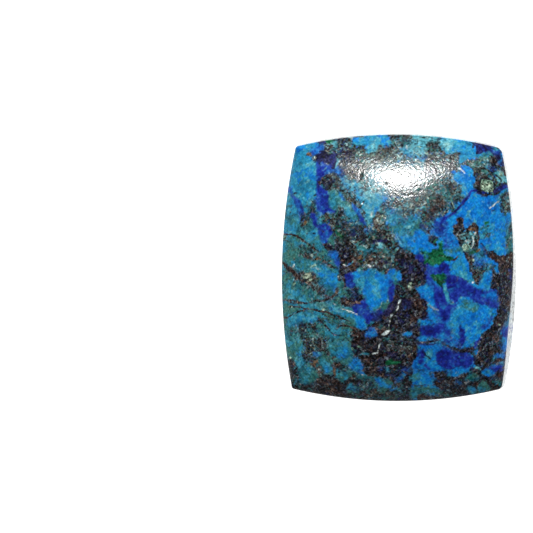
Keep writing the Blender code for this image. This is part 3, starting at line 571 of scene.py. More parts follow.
MIDDLE_LEFT = (
    Patch(AZURITE, (-6.35, 3.75, -6.1, 3.95, -5.85, 3.6, -5.7, 3.15, -5.2, 3.15, -4.9, 3.0, -4.78, 2.6, -4.88, 2.3,
                    -4.95, 1.95, -5.1, 1.75, -5.35, 1.65, -5.55, 2.1, -5.65, 2.5, -5.8, 2.8, -6.05, 3.0,
                    -6.15, 3.35), 0.06, 0.08),
    Patch(BLUE, (-5.7, 2.5, -5.3, 2.5, -5.1, 2.0, -5.3, 1.7, -5.5, 2.0), 0.1, 0.1, 0.55),
    Vein(DARK, (-5.7, 2.85, -5.4, 2.65, -5.1, 2.4), 0.12, cover=0.8),
    Patch(DARK, (-5.4, 1.75, -5.0, 1.78, -4.6, 1.65, -4.25, 1.75, -4.2, 1.3, -4.5, 1.1, -4.9, 1.18, -5.2, 1.4),
          0.06, 0.1),
    Patch(BLUE, (-4.9, 1.12, -4.4, 1.2, -4.25, 0.9, -4.15, 0.5, -4.2, -0.1, -4.45, 0.3, -4.65, 0.6, -5.0, 0.9),
          0.07, 0.08),
    Patch(SKY, (-4.8, 1.0, -4.5, 1.1, -4.35, 0.6, -4.6, 0.65), 0.1, 0.1, 0.5),
    Patch(CYAN, (-6.0, 2.9, -5.75, 2.5, -5.6, 1.9, -5.4, 1.5, -5.5, 1.0, -6.0, 1.4, -6.5, 2.0, -6.6, 2.5),
          0.15, 0.15, 0.5),
    Patch(ROCK, (-7.0, 3.9, -6.4, 3.9, -6.2, 3.3, -6.6, 2.8, -7.2, 2.9), 0.15, 0.25, 0.5),
    Spot(RUST, (-6.62, 3.3), 0.6, 0.26, 55, 0.08, 0.12, 0.7),
    Spot(UMBER, (-6.88, 3.02), 0.26, 0.2, 30),
    Spot(DARK, (-6.85, 3.5), 0.3, 0.2, 40, 0.08, 0.08, 0.7),
    Vein(UMBER, (-8.6, 2.45, -7.8, 2.4, -7.5, 2.36, -7.2, 2.2, -6.9, 2.03, -6.55, 1.8, -6.25, 1.52, -5.9, 1.3,
                 -5.75, 1.15), 0.17, cut=0.01),
    Vein(DARK, (-7.4, 2.3, -6.9, 2.03, -6.55, 1.8, -6.2, 1.48), 0.1, cover=0.7),
    Vein(DARK, (-8.1, 2.0, -7.75, 1.8, -7.6, 1.5, -7.4, 1.2, -7.2, 0.95, -7.0, 0.7), 0.1, cover=0.65),
    Patch(ROCK, (-7.3, 1.4, -6.9, 1.6, -6.2, 1.3, -5.9, 0.8, -5.4, 0.6, -5.2, 0.3, -6.0, 0.4, -6.8, 0.6,
                 -7.1, 1.0), 0.12, 0.2, 0.7, 0.4),
    Patch(TEAL, (-6.0, 0.8, -5.3, 1.0, -5.0, 0.6, -5.6, 0.5), 0.12, 0.15, 0.6),
    Vein(UMBER, (-6.9, 0.95, -6.5, 0.75, -6.1, 0.6, -5.7, 0.62, -5.3, 0.45, -5.0, 0.25, -4.75, 0.05, -4.4, 0.0),
         0.2, 0.06, 0.08, 0.8),
    Vein(DARK, (-5.9, 0.95, -5.6, 0.65, -5.3, 0.45), 0.12, cover=0.8),
    Spot(RUST, (-5.82, 0.62), 0.25, 0.16, 10, 0.06, 0.05, 0.6),
    Spot(UMBER, (-7.45, 0.6), 0.2, 0.18, 0, cover=0.8),
    Spot(DARK, (-7.85, 0.9), 0.2, 0.1, 20, cover=0.8),
    Spot(DARK, (-6.0, 2.5), 0.3, 0.14, -20, 0.06, 0.05, 0.6),
    Spot(DARK, (-6.55, 2.45), 0.14, 0.14, 0, cover=0.7),
    Spot(PALE, (-6.42, 2.05), 0.24, 0.18, 40, 0.08, 0.04),
    Spot(CREAM, (-8.12, 2.17), 0.3, 0.24, 30, 0.06, 0.05, 0.85),
    Vein(GLINT, (-7.65, -0.05, -7.5, 0.2), 0.13, 0.04, 0.02, 0.85),
    Patch(CYAN, (-6.6, 0.3, -5.9, 0.4, -5.3, 0.2, -5.1, -0.3, -5.7, -0.5, -6.3, -0.1), 0.15, 0.15, 0.6),
    Spot(CREAM, (-6.05, 0.15), 0.5, 0.25, 20, 0.1, 0.08, 0.65),
    Spot(GLINT, (-5.72, -0.08), 0.3, 0.12, -10, 0.05, 0.05, 0.8),
    Spot(BLACK, (-5.8, -0.24), 0.2, 0.12, 0, cut=0.05),
    Vein(GLINT, (-3.85, 0.28, -3.7, 0.15, -3.55, 0.22), 0.08, 0.04, 0.05, 0.7),
    Vein(PALE, (-3.5, 0.25, -3.3, 0.4, -3.2, 0.55), 0.09, 0.04, 0.05, 0.6),
    Vein(BLUE, (-3.7, 0.15, -3.4, 0.35), 0.12, cover=0.6),
    Patch(UMBER, (-3.4, 0.15, -3.15, 0.35, -2.9, 0.15, -2.85, -0.1, -3.3, -0.05), 0.05, 0.06),
    Spot(RUST, (-3.12, 0.15), 0.3, 0.2, -20, 0.06, 0.05, 0.5),
    Spot(PALE, (-2.75, -0.1), 0.2, 0.14, 30, 0.06, 0.04, 0.7),
    Patch(ROCK, (-8.0, 0.3, -7.2, -0.1, -6.4, -0.2, -5.6, -0.5, -5.3, -1.1, -5.6, -1.7, -6.4, -1.6, -7.2, -1.3,
                 -7.8, -0.6), 0.2, 0.35, 0.6, 0.4),
    Vein(UMBER, (-8.6, 0.45, -8.25, 0.3, -8.0, 0.05, -7.7, -0.2, -7.4, -0.45, -7.1, -0.75, -6.8, -0.95), 0.22, 0.06,
         0.09, 0.9),
    Vein(UMBER, (-6.8, -0.95, -6.4, -1.15, -6.1, -1.38, -5.8, -1.6, -5.4, -1.78, -5.1, -1.95), 0.15, 0.06, 0.1, 0.7),
    Vein(UMBER, (-7.0, -1.1, -6.5, -1.5, -6.0, -1.65, -5.5, -2.0), 0.08, 0.05, 0.06, 0.55),
    Vein(UMBER, (-6.6, -0.9, -6.0, -1.05, -5.5, -1.4, -5.2, -1.7), 0.08, 0.05, 0.06, 0.5),
    Vein(BLACK, (-8.0, 0.0, -7.7, -0.25, -7.4, -0.45), 0.1, cover=0.5),
    Patch(UMBER, (-7.6, -0.3, -6.9, -0.5, -6.2, -0.3, -5.7, -0.6, -5.9, -1.0, -6.4, -1.15, -7.0, -1.0,
                  -7.4, -0.7), 0.12, 0.15, 0.55, 0.3),
    Patch(RUST, (-6.1, -0.5, -5.8, -0.5, -5.8, -0.85, -6.1, -0.8), 0.1, 0.1, 0.4),
    Patch(CREAM, (-6.7, -0.5, -6.3, -0.4, -6.2, -0.65, -6.6, -0.78), 0.05, 0.08, 0.8),
    Spot(CREAM, (-6.3, -0.87), 0.36, 0.16, 20, cover=0.9),
    Spot(BLACK, (-6.5, -0.8), 0.34, 0.09, 20, cut=0.03),
    Spot(BLACK, (-6.4, -1.07), 0.24, 0.12, 10, cut=0.03),
    Spot(CREAM, (-7.47, -1.17), 0.26, 0.22, -60, cut=-0.005),
    Spot(BLACK, (-7.5, -1.36), 0.26, 0.1, -10, cover=0.7),
)

LOWER_LEFT = (
    Patch(CYAN, (-5.9, -0.2, -5.1, -0.1, -4.4, -0.2, -4.1, -0.6, -4.3, -1.3, -4.9, -1.5, -5.5, -1.2), 0.15, 0.25, 0.6),
    Patch(SKY, (-5.5, -0.5, -5.1, -0.2, -4.6, -0.3, -4.3, -0.6, -4.35, -1.0, -4.7, -0.95, -4.9, -1.3, -5.2, -0.9),
          0.12, 0.2, 0.6),
    Patch(BLUE, (-7.1, -1.5, -6.7, -1.6, -6.7, -2.3, -7.1, -2.3), 0.2, 0.2, 0.3),
    Patch(CYAN, (-8.1, -1.4, -7.6, -1.4, -6.8, -2.0, -6.9, -2.4, -7.6, -2.2, -8.1, -1.9), 0.2, 0.2, 0.4),
    Patch(SKY, (-4.9, -1.4, -4.3, -1.3, -4.2, -1.9, -4.7, -1.9), 0.15, 0.15, 0.5),
    Patch(AZURITE, (-3.95, -0.55, -3.5, -0.38, -3.1, -0.3, -2.88, -0.7, -2.8, -1.1, -2.95, -1.4, -3.4, -1.48,
                    -3.75, -1.25, -3.85, -0.9), 0.06, 0.08),
    Patch(BLUE, (-3.7, -0.9, -3.2, -0.9, -3.1, -1.3, -3.6, -1.35), 0.1, 0.12, 0.55),
    Vein(DARK, (-4.05, -0.2, -3.95, -0.6, -3.85, -1.0, -3.75, -1.4), 0.22, 0.06, 0.08, 0.9),
    Patch(DARK, (-3.9, -1.5, -3.3, -1.45, -2.9, -1.2, -2.5, -1.5, -2.4, -2.0, -2.5, -2.5, -3.2, -2.65, -3.6, -2.75,
                 -4.1, -2.65, -4.2, -2.3, -3.8, -2.1, -3.7, -1.8), 0.08, 0.14),
    Patch(TEAL, (-3.6, -1.7, -3.3, -1.8, -3.4, -2.1, -3.6, -2.1), 0.08, 0.1, 0.7),
    Patch(BLUE, (-3.2, -1.6, -2.8, -1.8, -2.9, -2.1, -3.2, -2.0), 0.12, 0.15, 0.5),
    Patch(UMBER, (-4.1, -2.25, -3.7, -2.4, -3.1, -2.4, -2.7, -2.45, -2.7, -2.6, -3.4, -2.7, -4.0, -2.65), 0.08, 0.1,
          0.7),
    Vein(UMBER, (-4.25, -0.5, -4.22, -0.85), 0.16, cover=0.8),
    Spot(RUST, (-4.35, -1.65), 0.5, 0.25, 65, 0.08, 0.08, 0.6),
    Spot(RUST, (-4.4, -1.8), 0.2, 0.14, 65, 0.05, 0.03, 0.7),
    Patch(SKY, (-3.7, -3.35, -3.0, -3.3, -2.4, -3.3, -2.2, -4.0, -2.6, -4.4, -2.95, -4.1, -3.3, -3.75), 0.1, 0.1, 0.9),
    Patch(AZURITE, (-3.4, -2.75, -2.8, -2.5, -2.4, -2.2, -2.2, -1.8, -2.1, -1.75, -2.1, -2.6, -1.95, -3.0,
                    -1.6, -3.2, -1.25, -2.95, -1.05, -3.2, -1.5, -3.65, -1.9, -3.85, -2.25, -3.95, -2.35, -3.6,
                    -2.7, -3.35, -3.15, -3.15), 0.07, 0.1),
    Patch(BLUE, (-2.9, -2.7, -2.2, -2.6, -2.0, -3.2, -2.5, -3.3, -3.0, -3.1), 0.15, 0.15, 0.5),
    Patch(SKY, (-3.05, -0.35, -2.4, -0.3, -2.0, -0.15, -1.6, -0.2, -1.2, -0.4, -0.9, -0.5, -0.5, -0.55,
                -0.45, -0.9, -0.55, -1.4, -0.7, -1.9, -0.85, -2.2, -1.2, -2.45, -1.6, -2.85, -1.95, -3.0,
                -2.1, -2.7, -2.2, -2.3, -2.25, -1.9, -2.45, -1.5, -2.6, -1.2, -2.8, -1.0, -2.9, -0.7), 0.06, 0.08),
    Patch(CYAN, (-2.9, -0.45, -2.2, -0.35, -1.4, -0.5, -1.2, -1.2, -1.7, -1.8, -2.1, -1.8, -2.6, -1.2), 0.2, 0.3,
          0.8),
    Patch(AZURITE, (-0.6, -0.85, -0.32, -1.0, -0.25, -1.4, -0.3, -1.9, -0.42, -2.35, -0.62, -2.25, -0.72, -1.8,
                    -0.58, -1.4), 0.07, 0.08),
    Patch(BLUE, (-0.9, -0.5, -0.5, -0.6, -0.5, -1.1, -0.8, -1.3), 0.12, 0.12, 0.5),
    Spot(DARK, (-1.2, -1.58), 0.2, 0.16, -40, 0.06, 0.03, 0.6),
    Patch(NAVY, (-1.9, -3.3, -1.2, -3.0, -0.9, -3.1, -1.1, -3.6, -1.6, -3.9), 0.12, 0.15, 0.5),
    Vein(UMBER, (-3.15, -2.42, -2.9, -2.46, -2.65, -2.52), 0.14, cover=0.8),
    Vein(UMBER, (-8.6, -2.35, -8.1, -2.33, -7.6, -2.35, -7.25, -2.45, -7.0, -2.52, -6.8, -2.45), 0.2, 0.08, 0.08,
         0.7),
    Vein(UMBER, (-6.15, -2.42, -5.8, -2.33, -5.4, -2.36, -5.0, -2.2, -4.7, -2.08, -4.4, -1.9), 0.18, 0.06, 0.06,
         0.85),
    Vein(DARK, (-5.7, -1.75, -5.2, -1.9, -4.9, -2.1), 0.2, 0.08, 0.08, 0.5),
    Patch(PALE, (-6.7, -2.5, -6.0, -2.45, -5.3, -2.42, -4.8, -2.55, -4.8, -2.9, -5.5, -2.98, -6.2, -2.78),
          0.12, 0.15, 0.45, 0.3),
    Patch(CREAM, (-5.5, -2.65, -5.0, -2.6, -4.95, -2.9, -5.4, -2.95), 0.12, 0.1, 0.35),
    Patch(CYAN, (-4.9, -2.6, -4.2, -2.7, -3.6, -2.9, -3.6, -3.5, -4.2, -3.4, -4.9, -3.1), 0.12, 0.15, 0.6),
    Vein(UMBER, (-7.9, -2.85, -7.3, -2.8, -6.8, -2.9, -6.4, -2.96, -6.0, -3.0, -5.6, -3.08, -5.2, -3.18,
                 -4.8, -3.3, -4.4, -3.42, -4.1, -3.6, -3.8, -3.7, -3.45, -3.85), 0.13, 0.04, 0.03, 0.95, cut=0.006),
    Spot(DARK, (-7.55, -2.8), 0.4, 0.12, 0, cover=0.8),
    Spot(CREAM, (-7.6, -2.82), 0.12, 0.1, 0, cover=0.7),
    Vein(UMBER, (-8.6, -3.75, -8.2, -3.66, -7.9, -3.55, -7.5, -3.32, -7.1, -3.15, -6.7, -3.05, -6.3, -2.97),
         0.13, 0.04, 0.03, 0.95, cut=0.006),
    Spot(UMBER, (-8.15, -3.68), 0.4, 0.22, 20, 0.06, 0.05, 0.8),
    Vein(DARK, (-5.8, -3.55, -5.65, -3.7, -5.45, -3.9, -5.2, -4.12, -4.95, -4.4, -4.75, -4.66, -4.4, -4.8,
                -4.0, -4.9, -3.75, -5.0, -3.5, -5.22, -3.3, -5.5), 0.13, 0.04, 0.03, cut=0.01),
    Spot(RUST, (-5.6, -3.72), 0.4, 0.12, -50, 0.05, 0.03, 0.6),
    Vein(UMBER, (-5.6, -3.7, -5.2, -3.66, -4.9, -3.76, -4.6, -3.92), 0.1, 0.04, 0.03, 0.7),
    Vein(UMBER, (-4.25, -4.1, -3.8, -4.14, -3.4, -4.26, -3.1, -4.4, -2.75, -4.5), 0.12, 0.04, 0.03, 0.9),
    Spot(RUST, (-4.3, -4.25), 0.3, 0.14, 20, 0.06, 0.05, 0.6),
    Vein(UMBER, (-4.0, -4.32, -3.6, -4.5, -3.2, -4.62), 0.08, 0.04, 0.03, 0.6),
    Vein(UMBER, (-3.95, -4.62, -3.5, -4.76, -3.1, -4.85), 0.09, 0.04, 0.03, 0.6),
    Vein(UMBER, (-5.0, -3.35, -4.6, -3.5, -4.3, -3.7), 0.07, 0.04, 0.03, 0.5),
    Vein(GLINT, (-4.1, -2.92, -3.75, -3.0, -3.4, -3.14, -2.9, -3.33), 0.07, 0.04, 0.03, 0.9, cut=-0.004),
    Vein(PALE, (-4.6, -3.02, -4.3, -3.08, -4.05, -3.18), 0.08, 0.04, 0.04, 0.8),
    Vein(PALE, (-3.9, -2.75, -3.5, -2.9, -3.15, -3.1), 0.07, 0.04, 0.04, 0.6),
    Vein(PALE, (-5.9, -2.6, -5.5, -2.5, -5.2, -2.35), 0.06, 0.04, 0.04, 0.6),
    Vein(PALE, (-5.4, -2.8, -5.0, -2.65, -4.7, -2.6), 0.06, 0.04, 0.04, 0.6),
    Vein(UMBER, (-5.2, -3.45, -4.7, -3.6, -4.2, -3.72, -3.7, -3.9, -3.2, -4.1), 0.06, 0.05, 0.03, 0.7),
    Vein(UMBER, (-4.9, -3.95, -4.4, -3.98, -3.9, -4.0, -3.4, -4.12, -3.0, -4.3), 0.05, 0.05, 0.03, 0.65),
    Vein(UMBER, (-4.6, -4.35, -4.1, -4.5, -3.6, -4.62, -3.2, -4.75), 0.05, 0.05, 0.03, 0.6),
    Vein(UMBER, (-4.5, -4.6, -4.0, -4.72, -3.5, -4.95, -3.15, -5.1), 0.05, 0.05, 0.03, 0.6),
    Vein(DARK, (-6.3, -3.0, -6.1, -3.3, -5.85, -3.5), 0.07, 0.05, 0.03, 0.7),
    Spot(GLINT, (-4.53, -2.6), 0.22, 0.08, -45, cover=0.8),
    Spot(CREAM, (-5.38, -3.0), 0.16, 0.12, -30),
    Spot(CREAM, (-5.2, -2.98), 0.12, 0.1, 50, cover=0.8),
    Patch(CYAN, (-7.9, -3.8, -7.2, -3.3, -6.5, -3.1, -6.0, -3.2, -5.8, -3.6, -6.1, -4.0, -6.9, -4.0, -7.4, -4.3,
                 -7.8, -4.2), 0.15, 0.15, 0.55),
    Patch(SKY, (-7.7, -4.0, -7.0, -3.9, -6.1, -3.8, -6.4, -4.05, -7.2, -4.15), 0.15, 0.12, 0.35),
    Spot(PALE, (-6.8, -3.72), 0.26, 0.1, -60, 0.08, 0.03, 0.7),
    Spot(PALE, (-7.4, -3.6), 0.2, 0.16, 0, 0.08, 0.03, 0.5),
    Patch(ROCK, (-7.1, -4.15, -6.4, -4.05, -5.95, -4.15, -5.9, -4.45, -6.5, -4.65, -7.1, -4.6), 0.1, 0.15, 0.75),
    Spot(RUST, (-6.15, -4.27), 0.4, 0.16, -5, 0.06, 0.05, 0.8),
    Spot(RUST, (-6.75, -4.5), 0.28, 0.16, 10, 0.06, 0.05, 0.7),
    Spot(DARK, (-7.0, -4.15), 0.26, 0.16, 0, 0.06, 0.05, 0.7),
    Spot(UMBER, (-7.6, -4.6), 0.5, 0.26, -20, 0.08, 0.1, 0.85),
    Spot(UMBER, (-5.1, -4.98), 0.4, 0.2, -30, 0.08, 0.08, 0.85),
    Patch(DARK, (-7.9, -4.75, -6.6, -4.7, -5.4, -4.6, -5.3, -4.9, -6.6, -5.0, -7.7, -4.95), 0.15, 0.2, 0.4, 0.5),
    Patch(ROCK, (-6.85, -4.95, -6.3, -5.05, -5.9, -5.2, -5.7, -5.0, -5.3, -5.1, -5.05, -5.4, -5.1, -5.9, -4.85, -6.2,
                 -5.2, -6.35, -5.5, -6.1, -5.9, -6.1, -6.15, -6.25, -5.85, -6.5, -6.0, -6.8, -6.5, -6.85,
                 -6.85, -6.5, -6.9, -6.1, -6.8, -5.6), 0.08, 0.14),
    Patch(UMBER, (-6.0, -5.2, -5.2, -5.3, -5.1, -5.8, -5.6, -6.1, -5.9, -5.8), 0.1, 0.15, 0.6, 0.3),
    Patch(DARK, (-6.8, -6.1, -6.1, -6.2, -6.2, -6.8, -6.8, -6.6), 0.12, 0.15, 0.7),
    Patch(UMBER, (-5.1, -5.9, -4.95, -6.0, -4.9, -6.3, -5.2, -6.3), 0.06, 0.08, 0.7),
    Patch(BLUE, (-6.0, -6.15, -5.6, -6.15, -5.6, -6.35, -5.9, -6.4), 0.07, 0.08, 0.8),
    Spot(PALE, (-5.65, -6.2), 0.16, 0.16, 0, 0.07, 0.03, 0.7),
    Patch(SKY, (-7.4, -6.25, -7.0, -6.2, -6.95, -6.6, -7.3, -6.65), 0.1, 0.1, 0.6),
    Patch(CYAN, (-5.0, -4.9, -4.4, -4.9, -3.9, -5.0, -3.4, -5.5, -3.15, -6.0, -3.5, -6.3, -4.3, -6.2, -4.7, -5.8,
                 -5.0, -5.5), 0.15, 0.15, 0.4),
    Patch(SKY, (-4.4, -5.4, -3.9, -5.6, -3.5, -5.9, -3.8, -6.2, -4.2, -6.0), 0.12, 0.15, 0.6),
    Patch(SKY, (-4.5, -6.3, -4.0, -6.05, -3.6, -6.3, -3.3, -6.5, -2.75, -6.6, -2.6, -7.2, -3.2, -7.45, -3.7, -7.3,
                -3.9, -6.85, -4.4, -6.7), 0.1, 0.12, 0.7),
    Patch(TEAL, (-4.0, -6.5, -3.6, -6.4, -3.5, -6.8, -3.8, -6.9), 0.1, 0.12, 0.6),
    Patch(SKY, (-5.4, -7.0, -4.95, -6.85, -4.8, -7.6, -5.3, -7.75, -5.5, -7.4), 0.1, 0.12, 0.55),
    Patch(CYAN, (-7.2, -6.8, -6.4, -6.7, -6.1, -7.3, -6.2, -7.7, -6.9, -7.5), 0.15, 0.15, 0.35),
    Spot(RUST, (-6.05, -7.02), 0.36, 0.32, -40, 0.06, 0.06, 0.8),
    Spot(RUST, (-5.8, -6.7), 0.4, 0.2, 50, 0.06, 0.08, 0.5),
    Spot(RUST, (-5.65, -7.2), 0.34, 0.24, 40, 0.06, 0.06, 0.7),
    Patch(ROCK, (-5.9, -7.2, -5.4, -7.2, -5.3, -7.5, -5.6, -7.8, -5.8, -7.5), 0.08, 0.1, 0.7),
    Spot(UMBER, (-5.62, -7.6), 0.24, 0.2, 60, 0.06, 0.05, 0.7),
    Patch(DARK, (-4.75, -6.9, -4.2, -6.8, -3.8, -7.0, -3.75, -7.3, -4.2, -7.5, -4.35, -7.3, -4.45, -7.75,
                 -4.7, -7.8, -4.7, -7.3), 0.08, 0.12, 0.8),
    Vein(RUST, (-4.62, -7.1, -4.56, -7.4, -4.55, -7.75), 0.22, 0.05, 0.05, 0.7),
    Patch(UMBER, (-4.8, -6.9, -4.5, -6.85, -4.2, -6.95, -4.3, -7.1, -4.7, -7.1), 0.06, 0.08, 0.8),
    Patch(CYAN, (-4.45, -7.5, -3.6, -7.35, -3.3, -7.9, -4.2, -8.05), 0.12, 0.15, 0.5),
    Spot(BLACK, (-3.15, -7.8), 0.22, 0.18, 0, cut=0.03),
    Spot(DARK, (-3.2, -7.65), 0.5, 0.3, -20, 0.08, 0.1, 0.7),
    Spot(BLACK, (-4.2, -7.52), 0.14, 0.12),
    Spot(UMBER, (-4.7, -6.5), 0.34, 0.2, 10, 0.06, 0.06, 0.7),
    Patch(DARK, (-8.0, -6.7, -7.5, -6.7, -7.2, -7.4, -7.0, -7.9, -6.8, -8.35, -6.3, -8.3, -5.9, -8.0, -5.4, -7.8,
                 -5.0, -7.65, -4.7, -7.85, -4.3, -8.0, -3.9, -8.3, -3.5, -8.0, -2.8, -8.0, -2.6, -8.4, -3.0, -8.5,
                 -3.4, -8.4, -3.7, -8.7, -3.4, -9.1, -2.4, -9.2, -2.4, -10, -8.6, -9.6), 0.1, 0.14, 0.92),
    Patch(UMBER, (-5.8, -7.95, -5.1, -7.75, -4.7, -7.95, -4.3, -8.2, -3.9, -8.7, -3.8, -9.2, -4.6, -9.2,
                  -5.2, -8.6, -6.0, -8.3), 0.12, 0.2, 0.55, 0.2),
    Patch(TEAL, (-6.75, -7.95, -6.1, -8.05, -6.15, -8.35, -6.5, -8.4, -6.75, -8.2), 0.1, 0.12, 0.8),
    Patch(TEAL, (-7.5, -7.9, -6.9, -8.0, -6.8, -8.4, -7.3, -8.5), 0.15, 0.15, 0.45),
    Spot(TEAL, (-6.3, -8.85), 0.4, 0.2, -10, 0.08, 0.06, 0.8),
    Spot(TEAL, (-5.35, -8.55), 0.4, 0.2, 0, 0.08, 0.08, 0.6),
    Spot(CREAM, (-7.75, -6.55), 0.16, 0.16),
    Spot(UMBER, (-7.62, -6.88), 0.36, 0.24, -40, 0.06, 0.06, 0.9),
    Spot(PALE, (-7.42, -7.3), 0.34, 0.16, 60, 0.06, 0.05, 0.6),
    Spot(CREAM, (-3.28, -5.83), 0.22, 0.17, 20),
    Spot(BLACK, (-3.28, -5.68), 0.2, 0.1, 10, cut=0.03),
    Spot(CREAM, (-2.8, -5.66), 0.2, 0.15, 0),
    Spot(BLACK, (-2.76, -5.79), 0.2, 0.08, 0, cut=0.03),
    Spot(PALE, (-4.47, -5.25), 0.14, 0.14, 0, 0.06, 0.03, 0.5),
    Spot(PALE, (-4.98, -5.35), 0.2, 0.12, 30, 0.06, 0.03, 0.5),
)

